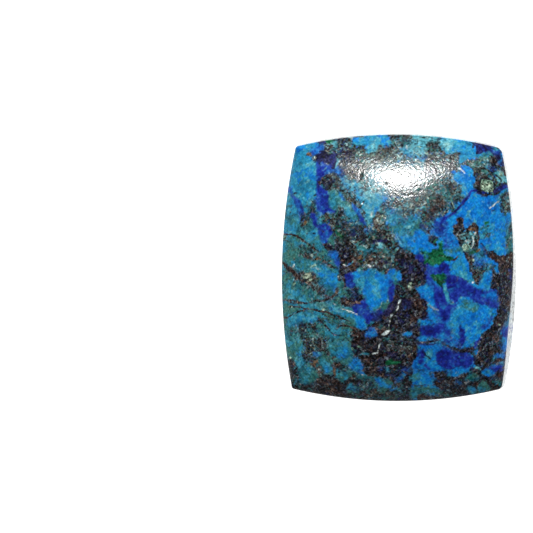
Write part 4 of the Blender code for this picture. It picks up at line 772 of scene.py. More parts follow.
LOWER_MIDDLE = (
    Patch(UMBER, (-3.3, -4.3, -2.5, -4.4, -2.3, -4.8, -2.8, -5.0, -3.3, -4.8), 0.1, 0.14, 0.7, 0.2),
    Patch(UMBER, (1.0, -1.9, 1.6, -1.8, 2.1, -2.3, 2.1, -2.8, 2.0, -3.6, 1.4, -3.7, 1.1, -3.0, 0.9, -2.3),
          0.12, 0.2, 0.75, 0.2),
    Patch(ROCK, (0.2, -1.2, 1.2, -1.1, 1.3, -1.7, 0.5, -2.1, 0.0, -1.9), 0.15, 0.2, 0.5, 0.3),
    Patch(NAVY, (0.2, -2.2, 0.6, -2.1, 1.0, -2.6, 0.6, -3.0, 0.1, -2.6), 0.1, 0.14, 0.7),
    Spot(BLUE, (0.5, -2.9), 0.4, 0.16, 60, 0.08, 0.06, 0.5),
    Patch(NAVY, (-0.6, -2.5, -0.1, -2.4, -0.4, -3.2, -0.8, -3.4, -0.8, -2.9), 0.1, 0.14, 0.5),
    Spot(CREAM, (0.93, -1.12), 0.16, 0.13, 0),
    Spot(CREAM, (0.83, -1.3), 0.22, 0.17, 30),
    Spot(BLACK, (0.9, -0.98), 0.2, 0.1, 10, cut=0.03),
    Spot(CREAM, (0.5, -2.05), 0.2, 0.08, 20, cover=0.7),
    # Painted shadow: black laid along the chain of bright crystal beads and below them.
    Vein(BLACK, (0.24, -2.3, 0.12, -2.7, -0.02, -3.0, -0.4, -3.4, -0.5, -3.8, -0.6, -4.3), 0.2, 0.05, 0.05, 0.8),
    Vein(GLINT, (0.04, -2.62, -0.04, -2.85, -0.12, -3.02), 0.04, 0.04, 0.02, 0.8),
    Vein(CREAM, (-0.12, -3.02, -0.26, -3.15, -0.42, -3.32), 0.02, 0.04, 0.02, 0.6),
    Vein(CREAM, (-0.5, -3.5, -0.54, -3.66, -0.57, -3.78), 0.03, 0.04, 0.02, 0.7),
    Vein(CREAM, (-0.58, -3.95, -0.6, -4.1, -0.66, -4.3), 0.02, 0.04, 0.02, 0.6),
    Spot(GLINT, (0.12, -2.4), 0.34, 0.12, 65),
    Spot(GLINT, (-0.06, -2.9), 0.2, 0.07, 62),
    Spot(GLINT, (-0.46, -3.4), 0.18, 0.1, 50),
    Spot(GLINT, (-0.56, -3.82), 0.1, 0.08, 80),
    Spot(GLINT, (-0.6, -4.1), 0.16, 0.06, 80),
    Vein(CREAM, (0.25, -2.15, 0.45, -2.0, 0.6, -1.9), 0.06, cover=0.6),
    # Painted shadow: a black oval below and behind the largest bright bead.
    Spot(BLACK, (-0.83, -4.68), 0.86, 0.42, 32),
    Spot(GLINT, (-0.86, -4.63), 0.56, 0.22, 32, cut=-0.006),
    Vein(GLINT, (-1.08, -2.25, -1.15, -2.45, -1.22, -2.7), 0.06, cover=0.8),
    Vein(CREAM, (-1.22, -2.7, -1.3, -2.9, -1.45, -3.02), 0.08, cover=0.8),
    Vein(PALE, (-1.5, -3.05, -1.7, -3.2, -1.95, -3.3), 0.07, cover=0.7),
    Spot(CREAM, (-0.76, -2.38), 0.4, 0.09, 68, cover=0.85),
    Spot(PALE, (-1.9, -3.25), 0.4, 0.2, 30, 0.08, 0.06, 0.5),
    Patch(ROCK, (-1.5, -4.0, -1.0, -4.1, -0.75, -4.2, -0.9, -4.4, -1.3, -4.4), 0.08, 0.1, 0.8),
    Spot(RUST, (-1.0, -4.25), 0.4, 0.16, -20, 0.08, 0.06, 0.3),
    Spot(BLUE, (-1.3, -3.72), 0.34, 0.2, 0, 0.08, 0.08, 0.6),
    Patch(BLUE, (-2.35, -4.9, -2.2, -4.5, -1.9, -4.25, -1.55, -4.4, -1.5, -4.7, -1.85, -4.95), 0.06, 0.08),
    Spot(SKY, (-2.05, -4.75), 0.4, 0.34, 40, 0.08, 0.06, 0.7),
    Patch(SKY, (0.25, -4.72, 0.55, -4.55, 0.95, -4.6, 1.05, -4.78, 0.6, -4.92), 0.06, 0.08, 0.85),
    Spot(UMBER, (1.3, -4.6), 0.4, 0.24, -60, 0.08, 0.08, 0.7),
    Spot(TEAL, (-0.85, -5.1), 0.5, 0.2, 0, 0.08, 0.06, 0.7),
    Patch(ROCK, (-0.9, -5.1, 1.2, -5.0, 1.3, -6.0, 0.4, -6.2, -0.8, -6.0), 0.2, 0.25, 0.5, 0.3),
    Patch(UMBER, (-3.2, -6.25, -2.6, -6.4, -2.2, -6.3, -1.9, -6.6, -2.1, -6.95, -2.8, -6.85, -3.2, -6.6), 0.08, 0.12,
          0.8),
    Patch(UMBER, (-3.0, -5.3, -2.2, -5.4, -2.2, -5.7, -3.0, -5.6), 0.1, 0.12, 0.6),
    Patch(UMBER, (0.65, -6.35, 1.1, -6.05, 1.4, -6.25, 1.0, -6.65, 0.7, -6.6), 0.06, 0.08, 0.85),
    Spot(RUST, (1.2, -5.75), 0.4, 0.22, 60, 0.08, 0.06, 0.5),
    Patch(UMBER, (-1.8, -6.2, -1.0, -6.2, -1.1, -6.5, -1.7, -6.5), 0.08, 0.1, 0.7),
    Patch(UMBER, (-2.2, -6.9, -1.6, -6.9, -1.5, -7.6, -2.0, -7.6), 0.12, 0.15, 0.6),
    Patch(UMBER, (-1.5, -7.5, -0.9, -7.5, -0.8, -8.0, -1.3, -7.9), 0.1, 0.12, 0.6),
    Vein(BLACK, (-1.36, -5.45, -1.48, -5.75, -1.56, -6.02, -1.8, -6.08), 0.24, cover=0.8),
    Vein(GLINT, (-1.26, -5.5, -1.36, -5.72, -1.42, -5.95), 0.08, 0.04, 0.03, 0.75),
    Spot(GLINT, (-1.62, -6.13), 0.32, 0.1, 15, 0.04, 0.03, 0.8),
    Patch(GREEN, (-0.95, -6.85, -0.65, -6.6, -0.42, -6.48, -0.28, -6.7, 0.1, -6.68, 0.25, -6.8, -0.2, -6.92,
                  -0.6, -7.02), 0.05, 0.07),
    Patch(NAVY, (-0.7, -6.1, 0.0, -6.15, 0.2, -6.6, -0.3, -6.5), 0.12, 0.15, 0.6),
    Patch(CYAN, (-0.95, -7.25, -0.65, -7.15, -0.55, -7.45, -0.8, -7.55), 0.07, 0.08, 0.7),
    Patch(BLUE, (-1.4, -7.2, -1.1, -7.1, -1.0, -7.4, -1.3, -7.5), 0.1, 0.1, 0.5),
    Patch(BLUE, (0.3, -7.2, 0.9, -7.15, 0.85, -7.5, 0.4, -7.5), 0.1, 0.12, 0.6),
    Patch(BLUE, (-0.7, -7.6, -0.1, -7.6, -0.1, -8.0, -0.6, -8.0), 0.12, 0.12, 0.4),
    Vein(TEAL, (-2.8, -6.25, -2.4, -6.15, -2.05, -6.2), 0.2, 0.06, 0.06, 0.7),
    Patch(SKY, (-1.65, -8.0, -1.3, -7.95, -1.0, -8.15, -0.8, -8.4, -0.55, -8.6, -0.8, -8.75, -1.2, -8.45,
                -1.55, -8.3), 0.07, 0.1, 0.85),
    Spot(PALE, (-1.28, -8.25), 0.24, 0.14, 20, 0.06, 0.04, 0.7),
    Spot(PALE, (-0.75, -8.48), 0.2, 0.14, 20, 0.06, 0.04, 0.5),
    Patch(SKY, (-0.25, -7.98, 0.1, -7.9, 0.35, -7.62, 0.55, -7.75, 0.25, -8.1, -0.1, -8.3), 0.07, 0.09, 0.8),
    Patch(TEAL, (-3.4, -8.5, -2.7, -8.6, -2.1, -8.2, -1.7, -8.5, -1.2, -8.8, -0.6, -8.7, 0.1, -8.45, 0.5, -8.6,
                 0.2, -8.9, 0.1, -9.3, -0.6, -9.2, -1.4, -9.3, -2.4, -9.2, -3.3, -9.1), 0.12, 0.18, 0.6),
    Patch(CYAN, (-0.5, -8.7, 0.1, -8.5, 0.2, -8.9, -0.3, -9.0), 0.12, 0.12, 0.5),
    Patch(SKY, (-3.6, -8.5, -3.1, -8.5, -2.7, -8.8, -3.0, -9.0, -3.4, -8.9), 0.1, 0.12, 0.5),
    Spot(RUST, (-1.6, -8.88), 0.4, 0.2, 75, 0.06, 0.06, 0.7),
    Spot(DARK, (-0.7, -9.2), 0.8, 0.3, 0, 0.1, 0.1, 0.6),
    Spot(UMBER, (-2.6, -9.3), 1.2, 0.3, 0, 0.1, 0.1, 0.6),
    Patch(SKY, (-3.3, -6.6, -2.9, -6.65, -2.65, -7.1, -2.75, -7.4, -3.3, -7.45), 0.08, 0.1, 0.85),
    Spot(BLUE, (-2.75, -7.52), 0.6, 0.2, -20, 0.07, 0.08, 0.85),
    Spot(GLINT, (-2.58, -7.68), 0.14, 0.12, 0, cover=0.6),
    Patch(DARK, (0.2, -8.5, 0.9, -8.4, 1.0, -8.9, 1.0, -9.8, -0.1, -9.8, 0.1, -9.2), 0.1, 0.12, 0.8),
)

LOWER_RIGHT = (
    Patch(AZURITE, (3.6, -0.6, 4.0, -0.55, 4.5, -0.8, 5.0, -1.0, 5.3, -1.25, 5.7, -1.5, 6.2, -1.65, 6.9, -1.45,
                    7.15, -1.55, 7.0, -1.75, 6.4, -1.8, 5.9, -1.9, 6.2, -2.1, 6.6, -2.4, 7.05, -2.5, 7.1, -2.75,
                    6.6, -2.72, 6.1, -2.6, 5.7, -2.42, 5.3, -2.2, 5.0, -2.0, 4.7, -2.05, 4.5, -2.05, 4.35, -2.3,
                    4.25, -2.6, 4.05, -3.0, 3.85, -3.35, 3.65, -3.65, 3.2, -3.75, 3.1, -3.3, 2.85, -2.9,
                    2.6, -2.6, 2.5, -2.2, 2.6, -1.7, 2.3, -1.2, 2.1, -0.7, 2.3, -0.6, 2.7, -1.1, 3.1, -1.4,
                    3.35, -1.4), 0.06, 0.08),
    Patch(BLUE, (4.1, -1.1, 4.9, -1.2, 5.1, -1.7, 4.6, -1.8, 4.2, -1.6), 0.2, 0.2, 0.7),
    Patch(BLUE, (2.2, -0.9, 2.7, -1.2, 3.0, -1.7, 2.6, -1.9, 2.3, -1.4), 0.15, 0.18, 0.6),
    Patch(BLUE, (3.6, -2.6, 4.1, -2.5, 4.1, -2.9, 3.7, -3.3, 3.2, -3.1), 0.15, 0.18, 0.5),
    Patch(NAVY, (3.5, -0.6, 4.3, -0.65, 4.4, -0.9, 3.7, -0.9), 0.1, 0.12, 0.5),
    Patch(SKY, (1.5, -1.3, 2.0, -1.25, 2.35, -1.6, 2.5, -2.2, 2.6, -2.65, 2.3, -2.65, 2.1, -2.3, 1.8, -2.1,
                1.6, -1.8, 1.4, -1.5), 0.06, 0.08),
    Patch(SKY, (2.15, -2.75, 2.6, -2.8, 3.0, -3.1, 3.0, -3.8, 2.6, -4.25, 2.1, -4.15, 1.8, -4.0, 1.5, -3.85,
                1.55, -3.65, 1.95, -3.8, 2.15, -3.3), 0.06, 0.08),
    Vein(CYAN, (3.3, -1.2, 3.42, -1.6, 3.5, -2.0, 3.65, -2.35, 3.95, -2.55), 0.3, 0.06, 0.06, 0.9),
    Spot(ROCK, (3.85, -2.4), 0.34, 0.2, -20, 0.08, 0.06, 0.6),
    Vein(PALE, (2.2, -2.62, 2.5, -2.8, 2.9, -3.0), 0.13, cover=0.9),
    Vein(GLINT, (2.3, -2.68, 2.55, -2.82, 2.9, -2.98), 0.08, cover=0.6),
    Patch(TEAL, (4.7, -2.25, 5.1, -2.3, 5.4, -2.35, 5.7, -2.55, 5.95, -2.85, 5.8, -3.15, 5.5, -3.25, 5.1, -3.1,
                 4.9, -3.1, 4.6, -2.9, 4.5, -2.5), 0.1, 0.1, 0.9),
    Patch(CYAN, (4.2, -2.9, 4.7, -2.9, 5.0, -3.3, 4.9, -3.9, 4.4, -4.1, 4.2, -4.4, 3.9, -4.1, 3.6, -4.0, 3.9, -3.5,
                 4.1, -3.2), 0.1, 0.12, 0.75),
    Patch(CYAN, (5.2, -2.5, 5.9, -2.8, 5.8, -3.1, 5.4, -3.0), 0.12, 0.12, 0.5),
    Patch(SKY, (5.95, -2.8, 6.3, -2.75, 7.0, -2.8, 6.95, -3.2, 6.8, -3.45, 6.5, -3.9, 6.2, -4.2, 6.0, -4.55,
                5.8, -4.9, 5.6, -5.1, 5.35, -5.35, 5.0, -5.6, 4.7, -5.6, 4.75, -5.0, 4.65, -4.6, 4.55, -4.2,
                4.9, -3.95, 5.05, -3.5, 5.3, -3.25, 5.7, -3.2), 0.07, 0.08),
    Patch(SKY, (6.05, -1.95, 6.4, -1.83, 7.05, -1.75, 7.12, -2.05, 7.0, -2.42, 6.7, -2.4, 6.35, -2.2), 0.06, 0.07),
    Patch(SKY, (6.05, -0.6, 6.4, -0.3, 6.65, -0.6, 6.75, -1.1, 6.65, -1.45, 6.2, -1.42, 6.0, -1.2), 0.07, 0.08),
    Patch(UMBER, (5.3, -0.15, 6.15, -0.15, 6.2, -0.45, 6.0, -0.85, 5.85, -1.1, 5.6, -1.15, 5.42, -0.85,
                  5.4, -0.5), 0.06, 0.1),
    Spot(BLACK, (5.85, -0.85), 0.3, 0.14, 20, cover=0.6),
    Spot(GLINT, (5.33, -1.0), 0.15, 0.14),
    Spot(CREAM, (5.95, -0.7), 0.12, 0.1),
    Spot(PALE, (4.57, -2.08), 0.15, 0.14, 0, 0.06, 0.03, 0.8),
    Spot(PALE, (4.35, -2.85), 0.32, 0.14, 40, 0.06, 0.04, 0.7),
    Spot(PALE, (3.9, -1.1), 0.14, 0.14, 0, 0.06, 0.03, 0.6),
    Spot(PALE, (5.82, -2.48), 0.12, 0.12, 0, 0.06, 0.03, 0.6),
    Spot(PALE, (6.65, -2.22), 0.2, 0.14, -40, 0.06, 0.04, 0.6),
    Spot(DARK, (4.65, -0.75), 0.14, 0.12, 0, cover=0.6),
    Vein(PALE, (5.1, -1.2, 5.4, -1.4, 5.8, -1.55), 0.08, cover=0.4),
    Patch(DARK, (6.7, -0.3, 7.1, -0.35, 7.9, -0.3, 9.0, -0.3, 9.0, -6.4, 7.6, -6.4, 7.6, -6.0, 7.4, -5.8,
                 7.35, -5.3, 7.4, -4.8, 7.6, -4.2, 7.8, -4.0, 7.7, -3.8, 7.8, -3.4, 7.95, -3.2, 7.6, -3.0,
                 7.2, -3.6, 6.9, -4.1, 6.4, -4.5, 5.95, -4.9, 5.95, -5.5, 5.85, -6.0, 5.5, -6.3, 5.5, -7.0,
                 6.0, -7.1, 6.6, -6.9, 6.9, -6.6, 7.0, -6.2, 7.5, -6.0, 7.3, -5.0, 7.4, -4.3, 7.0, -3.9, 7.1, -3.3,
                 7.15, -2.8, 7.1, -2.5, 7.2, -2.2, 7.12, -1.8, 7.0, -1.5, 6.72, -1.3, 6.72, -0.9, 6.8, -0.6),
          0.06, 0.1),
    Patch(DARK, (7.1, -3.0, 7.8, -3.2, 7.7, -4.1, 7.5, -4.3, 7.35, -5.0, 7.3, -5.9, 6.0, -6.2, 5.9, -5.0,
                 6.5, -4.45, 6.9, -3.9), 0.06, 0.1),
    Patch(UMBER, (7.5, -0.8, 8.0, -1.0, 8.0, -2.6, 7.5, -2.8, 7.3, -1.8), 0.2, 0.25, 0.5, 0.4),
    Patch(UMBER, (7.0, -3.5, 7.3, -3.4, 7.6, -3.9, 7.2, -4.2, 6.95, -4.0), 0.1, 0.12, 0.6, 0.3),
    Vein(NAVY, (8.1, -0.1, 8.3, -0.6, 8.32, -1.4, 8.28, -2.2, 8.2, -2.9), 0.3, 0.06, 0.05, 0.9),
    Vein(AZURITE, (8.0, -0.1, 8.12, -0.5, 8.15, -0.9), 0.14, 0.06, 0.05, 0.7),
    Patch(AZURITE, (7.55, -4.3, 7.9, -4.15, 8.3, -4.2, 8.2, -5.1, 7.65, -5.1, 7.5, -4.8), 0.07, 0.08),
    Patch(BLUE, (7.5, -5.0, 8.2, -5.0, 8.1, -5.3, 7.5, -5.3), 0.08, 0.08, 0.7),
    Patch(SKY, (7.4, -5.15, 7.8, -5.1, 8.2, -5.2, 8.1, -5.9, 7.75, -5.95, 7.5, -5.8, 7.25, -5.65), 0.08, 0.1, 0.85),
    Spot(UMBER, (7.25, -5.88), 0.4, 0.14, -10, cover=0.8),
    Spot(GREEN, (6.88, -3.32), 0.4, 0.16, 30, 0.06, 0.06, 0.8),
    Vein(TEAL, (7.22, -2.2, 7.2, -2.6, 7.3, -2.9), 0.16, 0.06, 0.06, 0.8),
    Patch(CYAN, (7.85, -3.3, 8.4, -3.3, 8.3, -4.0, 7.8, -4.1), 0.07, 0.08, 0.9),
    Spot(CREAM, (7.32, -4.05), 0.15, 0.14),
    Spot(ROCK, (7.55, -1.62), 0.2, 0.16, 0, 0.06, 0.04, 0.8),
    Spot(ROCK, (6.85, -3.8), 0.24, 0.1, 60, 0.05, 0.04, 0.8),
    Spot(ROCK, (7.5, -3.65), 0.6, 0.4, 0, 0.1, 0.1, 0.6),
    Patch(BLUE, (6.75, -3.4, 6.85, -3.6, 6.55, -4.0, 6.3, -4.4, 6.05, -4.35, 6.35, -3.9), 0.07, 0.08, 0.9),
    Patch(AZURITE, (6.6, -3.7, 6.7, -3.8, 6.4, -4.3, 6.2, -4.3), 0.08, 0.06, 0.6),
    Patch(AZURITE, (1.65, -4.2, 2.1, -4.15, 2.6, -4.25, 3.0, -3.9, 3.3, -4.1, 3.1, -4.5, 3.0, -4.95, 2.3, -5.05,
                    1.9, -4.95, 1.7, -4.7), 0.08, 0.1),
    Patch(CYAN, (3.2, -4.4, 3.7, -4.0, 4.2, -4.1, 4.4, -4.6, 4.2, -5.1, 3.7, -4.9, 3.3, -5.05, 2.9, -5.0, 3.1, -4.7),
          0.1, 0.14, 0.75),
    Patch(AZURITE, (3.35, -4.4, 3.6, -4.4, 3.75, -4.7, 3.55, -5.0, 3.4, -4.7), 0.08, 0.1, 0.75),
    Patch(AZURITE, (4.4, -4.15, 4.7, -4.25, 4.85, -4.8, 4.9, -5.2, 4.6, -5.6, 4.3, -5.75, 4.1, -5.5, 4.4, -5.0),
          0.07, 0.1),
    Patch(SKY, (4.0, -4.6, 4.35, -4.5, 4.4, -5.1, 4.0, -5.3), 0.1, 0.12, 0.6),
    Patch(BLUE, (3.1, -5.1, 4.1, -5.0, 4.3, -5.6, 3.6, -5.5), 0.1, 0.12, 0.7),
    Spot(ROCK, (3.9, -5.0), 0.4, 0.2, 20, 0.08, 0.08, 0.5),
    Patch(SKY, (1.4, -4.95, 1.9, -5.0, 2.3, -4.98, 2.3, -5.3, 1.7, -5.3, 1.45, -5.2), 0.08, 0.1, 0.8),
    Patch(CYAN, (2.3, -5.4, 3.0, -5.45, 3.4, -5.7, 3.0, -5.9, 2.9, -6.6, 2.6, -6.9, 2.1, -6.8, 1.9, -6.3,
                 2.0, -5.9, 2.4, -5.7), 0.08, 0.12, 0.9),
    Patch(SKY, (2.2, -5.8, 2.8, -5.7, 3.0, -6.2, 2.7, -6.7, 2.3, -6.3), 0.12, 0.14, 0.6),
    Patch(AZURITE, (1.5, -5.3, 1.9, -5.3, 2.9, -5.4, 3.4, -5.7, 2.8, -5.75, 2.1, -5.6, 1.6, -5.7), 0.08, 0.12, 0.55),
    Patch(AZURITE, (1.35, -6.45, 1.55, -5.95, 1.85, -5.85, 2.0, -6.15, 1.85, -6.6, 2.1, -6.95, 2.5, -7.2,
                    2.9, -7.5, 2.3, -7.3, 1.75, -7.0, 1.3, -6.9), 0.07, 0.09),
    Patch(SKY, (1.1, -6.8, 1.4, -6.6, 1.6, -6.95, 2.0, -7.1, 2.4, -7.35, 3.0, -7.6, 3.0, -8.1, 2.6, -8.35, 2.2, -8.45,
                1.7, -8.4, 1.3, -8.2, 1.15, -8.0, 1.45, -7.7, 1.2, -7.4), 0.07, 0.09),
    Patch(TEAL, (0.95, -7.8, 1.5, -7.55, 1.75, -7.7, 1.3, -8.0, 0.95, -8.0), 0.08, 0.1, 0.8),
    Spot(GREEN, (1.35, -7.68), 0.5, 0.2, 25, 0.08, 0.08, 0.35),
    Vein(BLACK, (1.85, -6.1, 2.05, -6.3, 2.3, -6.55), 0.13, cover=0.8, cut=0.01),
    Spot(BLACK, (2.25, -6.52), 0.16, 0.12, -40),
    Patch(TEAL, (0.85, -8.9, 1.2, -8.55, 1.9, -8.5, 2.8, -8.6, 3.2, -8.8, 3.2, -9.1, 2.2, -9.1, 1.5, -9.3,
                 0.9, -9.35), 0.1, 0.12, 0.95),
    Patch(UMBER, (1.3, -9.4, 1.8, -9.1, 2.3, -9.2, 2.9, -9.5, 2.0, -9.7, 1.3, -9.7), 0.08, 0.1, 0.9),
    Patch(AZURITE, (3.0, -6.0, 3.4, -5.85, 3.8, -5.95, 4.1, -6.0, 4.5, -6.15, 4.9, -6.1, 5.2, -6.3, 5.38, -6.6,
                    5.3, -6.95, 4.9, -6.95, 4.3, -7.0, 4.0, -7.3, 3.7, -7.32, 3.2, -7.15, 2.9, -6.9, 2.8, -6.4),
          0.06, 0.07),
    Spot(BLUE, (3.75, -6.2), 0.4, 0.4, 0, 0.12, 0.1, 0.5),
    Spot(NAVY, (4.8, -6.3), 0.4, 0.16, -20, 0.08, 0.08, 0.5),
    Patch(SKY, (2.4, -7.0, 2.9, -7.0, 3.4, -7.2, 3.75, -7.4, 4.2, -7.15, 4.6, -6.98, 5.1, -7.05, 5.25, -7.3,
                4.9, -7.6, 4.4, -7.6, 4.1, -7.82, 3.8, -7.85, 3.5, -7.5, 3.1, -7.3, 2.6, -7.4), 0.07, 0.08, 0.9),
    Vein(DARK, (1.4, -5.3, 1.9, -5.35, 2.4, -5.28, 2.8, -5.2, 3.1, -5.3, 3.5, -5.58, 3.9, -5.75, 4.3, -5.87,
                4.7, -5.97, 5.1, -6.0, 5.35, -6.15, 5.52, -6.45, 5.5, -6.8, 5.42, -7.1, 5.2, -7.35), 0.2, 0.07, 0.1,
         0.9, cut=0.008),
    Vein(BLACK, (3.1, -5.35, 3.5, -5.6, 3.9, -5.78, 4.3, -5.9, 4.7, -6.0, 5.1, -6.03), 0.08, 0.05, 0.06, 0.6),
    Vein(UMBER, (1.4, -5.05, 2.0, -5.12, 2.6, -5.08, 3.2, -5.2), 0.1, 0.08, 0.08, 0.55),
    Vein(DARK, (2.4, -5.5, 3.1, -5.6, 3.7, -5.9, 4.2, -6.05), 0.09, 0.06, 0.08, 0.6),
    Vein(NAVY, (1.5, -5.42, 2.2, -5.5, 2.9, -5.42), 0.1, 0.06, 0.08, 0.6),
    Vein(DARK, (3.3, -5.3, 3.9, -5.45, 4.5, -5.75, 5.0, -5.8), 0.07, 0.06, 0.06, 0.5),
    Patch(UMBER, (4.9, -5.85, 5.2, -5.65, 5.5, -5.6, 5.5, -5.95, 5.1, -6.0), 0.06, 0.08, 0.9),
    Spot(ROCK, (4.9, -5.9), 0.5, 0.16, 0, 0.06, 0.06, 0.6),
    Vein(AZURITE, (5.95, -5.1, 5.7, -5.35, 5.5, -5.75), 0.24, 0.06, 0.06, 0.9),
    Patch(SKY, (5.55, -5.85, 5.7, -5.55, 5.9, -5.45, 5.9, -5.8, 5.7, -5.95), 0.06, 0.06, 0.85),
    Spot(CREAM, (6.68, -4.98), 0.14, 0.12, 0, cover=0.8),
    Spot(CREAM, (7.08, -5.0), 0.12, 0.1, 0, cover=0.8),
    Spot(CREAM, (7.15, -5.4), 0.16, 0.12, 0, cover=0.9),
    Spot(CREAM, (6.9, -5.65), 0.14, 0.1, 0, cover=0.7),
    Spot(ROCK, (6.5, -5.7), 0.5, 0.3, 30, 0.1, 0.1, 0.5),
    Patch(BLUE, (7.1, -6.2, 7.5, -6.15, 7.9, -6.3, 7.8, -6.5, 7.2, -6.5), 0.07, 0.08, 0.85),
    Spot(UMBER, (7.5, -6.65), 0.4, 0.16, 0, 0.06, 0.06, 0.7),
    Patch(TEAL, (6.3, -6.9, 6.6, -6.7, 7.0, -6.3, 7.1, -6.8, 6.7, -7.0), 0.1, 0.14, 0.6),
    Spot(PALE, (6.95, -6.6), 0.34, 0.15, 85, 0.06, 0.05, 0.6),
    Patch(DARK, (2.7, -7.6, 3.4, -7.4, 3.6, -7.8, 4.1, -7.95, 4.5, -7.6, 5.2, -7.5, 5.6, -7.15, 6.2, -7.2, 6.0, -7.7,
                 6.4, -7.9, 7.0, -7.8, 7.3, -7.4, 8.6, -7.0, 8.6, -10, 2.9, -10, 2.6, -9.4, 3.2, -8.8, 2.7, -8.4,
                 3.0, -8.1), 0.1, 0.15),
    Patch(TEAL, (3.5, -8.0, 4.4, -8.0, 5.2, -7.7, 6.0, -7.8, 6.0, -8.4, 5.0, -8.6, 4.0, -8.6), 0.2, 0.25, 0.5, 0.4),
    Patch(AZURITE, (6.4, -7.3, 6.75, -7.1, 7.2, -7.0, 7.9, -7.0, 7.7, -7.4, 7.0, -7.6, 6.8, -7.5), 0.07, 0.09, 0.9),
    Patch(SKY, (6.05, -7.55, 6.4, -7.35, 6.8, -7.35, 6.75, -7.6, 6.3, -7.72), 0.06, 0.07),
    Vein(PALE, (5.5, -7.3, 5.75, -7.2, 5.95, -7.3), 0.14, 0.05, 0.05, 0.7),
    Patch(TEAL, (5.1, -7.6, 5.7, -7.55, 5.9, -7.8, 5.5, -8.1, 5.1, -7.95), 0.1, 0.14, 0.8),
    Patch(GREEN, (5.0, -7.85, 5.45, -7.7, 5.5, -8.0, 5.1, -8.1), 0.08, 0.1, 0.5),
    Patch(TEAL, (6.15, -8.1, 6.4, -8.3, 6.65, -8.7, 6.3, -8.8, 5.75, -8.65), 0.07, 0.09),
    Patch(TEAL, (6.5, -8.25, 6.8, -8.05, 7.3, -7.85, 7.3, -8.2, 6.85, -8.3), 0.07, 0.09, 0.9),
    Spot(CREAM, (6.65, -8.15), 0.3, 0.12, 10, 0.06, 0.05, 0.5),
    Patch(CYAN, (5.05, -8.6, 5.5, -8.5, 5.8, -8.75, 5.7, -9.1, 5.15, -9.1), 0.07, 0.09, 0.9),
    Patch(TEAL, (5.6, -8.8, 6.2, -8.8, 6.0, -9.1, 5.6, -9.1), 0.07, 0.09, 0.8),
    Patch(BLUE, (4.2, -8.2, 4.6, -8.05, 4.7, -8.25, 4.3, -8.4), 0.08, 0.1, 0.85),
    Patch(SKY, (4.3, -8.2, 4.5, -8.15, 4.5, -8.3), 0.06, 0.06, 0.6),
    Patch(UMBER, (2.7, -8.3, 3.1, -8.4, 3.3, -8.75, 2.95, -8.7), 0.08, 0.1, 0.8),
    Patch(UMBER, (3.6, -7.85, 3.85, -7.9, 3.85, -8.4, 3.65, -8.3), 0.08, 0.1, 0.8),
    Spot(UMBER, (5.62, -8.25), 0.4, 0.24, 40, 0.06, 0.08, 0.9),
    Spot(UMBER, (6.2, -8.82), 0.4, 0.14, 10, cover=0.8),
    Spot(UMBER, (4.5, -8.7), 0.24, 0.2, 0, 0.06, 0.06, 0.7),
    Vein(DARK, (6.25, -7.85, 6.4, -8.1, 6.6, -8.35, 6.9, -8.4, 7.2, -8.35), 0.14, cover=0.9),
    Vein(UMBER, (5.0, -7.55, 4.6, -7.9, 4.2, -7.9), 0.16, cover=0.7),
    Patch(TEAL, (2.9, -9.1, 3.6, -8.95, 4.0, -9.1, 3.4, -9.3), 0.15, 0.15, 0.5),
    # Painted shade: a thin black line along the right-hand rim.
    Spot(BLACK, (7.85, -7.0), 1.5, 0.2, 84, cover=0.8),
    Spot(DARK, (3.35, -6.3), 0.3, 0.16, 20, 0.1, 0.06, 0.4),
    Patch(ROCK, (2.8, -7.5, 3.4, -7.45, 3.4, -7.9, 2.9, -7.8), 0.1, 0.12, 0.6),
    Vein(DARK, (5.5, -7.3, 6.0, -7.8, 6.6, -7.95, 7.2, -7.75, 7.7, -7.6), 0.2, 0.08, 0.1, 0.85),
    Vein(DARK, (3.9, -7.9, 4.5, -8.0, 4.9, -8.4, 5.4, -8.4, 5.9, -8.15, 6.3, -7.9), 0.2, 0.1, 0.1, 0.8),
    Vein(DARK, (4.9, -8.4, 5.0, -8.9, 5.1, -9.3), 0.22, 0.08, 0.1, 0.85),
    Vein(UMBER, (6.6, -8.1, 6.9, -8.5, 7.4, -8.7), 0.2, 0.08, 0.1, 0.8),
    Vein(DARK, (5.6, -8.6, 5.75, -8.95, 5.8, -9.2), 0.14, 0.08, 0.08, 0.7),
    Patch(DARK, (6.8, -8.3, 7.6, -8.1, 8.0, -8.4, 7.8, -9.0, 6.8, -9.1, 6.4, -8.9), 0.1, 0.2, 0.65, 0.4),
    Patch(DARK, (2.4, -7.7, 3.4, -7.6, 4.0, -8.1, 4.6, -8.4, 4.6, -9.3, 3.4, -9.4, 2.7, -8.6), 0.12, 0.25, 0.55, 0.5),
    Patch(ROCK, (2.0, -8.8, 3.0, -9.0, 3.8, -8.8, 4.8, -9.2, 4.0, -9.5, 2.4, -9.5), 0.15, 0.25, 0.5, 0.5),
    Patch(DARK, (7.2, -6.6, 7.7, -6.5, 8.0, -7.0, 7.6, -7.1, 7.1, -6.95), 0.1, 0.15, 0.6),
    Patch(AZURITE, (2.9, -6.3, 3.4, -6.1, 4.4, -6.2, 5.1, -6.4, 5.3, -6.8, 5.0, -7.1, 4.3, -7.2, 3.6, -7.3, 3.0, -7.0),
          0.12, 0.2, 0.6),
    Vein(UMBER, (1.0, -8.5, 1.7, -8.52, 2.5, -8.45, 3.2, -8.6), 0.12, 0.08, 0.1, 0.75),
    Vein(DARK, (1.1, -7.35, 1.6, -7.3, 2.3, -7.45, 3.0, -7.65, 3.1, -8.2), 0.14, 0.1, 0.1, 0.55),
    Patch(ROCK, (-2.9, -7.8, -1.8, -7.8, -0.5, -8.0, 0.3, -8.4, 0.6, -9.6, -1.0, -9.7, -3.2, -9.5, -3.4, -8.5),
          0.15, 0.3, 0.6, 0.5),
    Patch(DARK, (-2.6, -8.0, -1.8, -7.9, -1.7, -8.5, -2.2, -9.0, -2.9, -8.8), 0.15, 0.25, 0.6, 0.4),
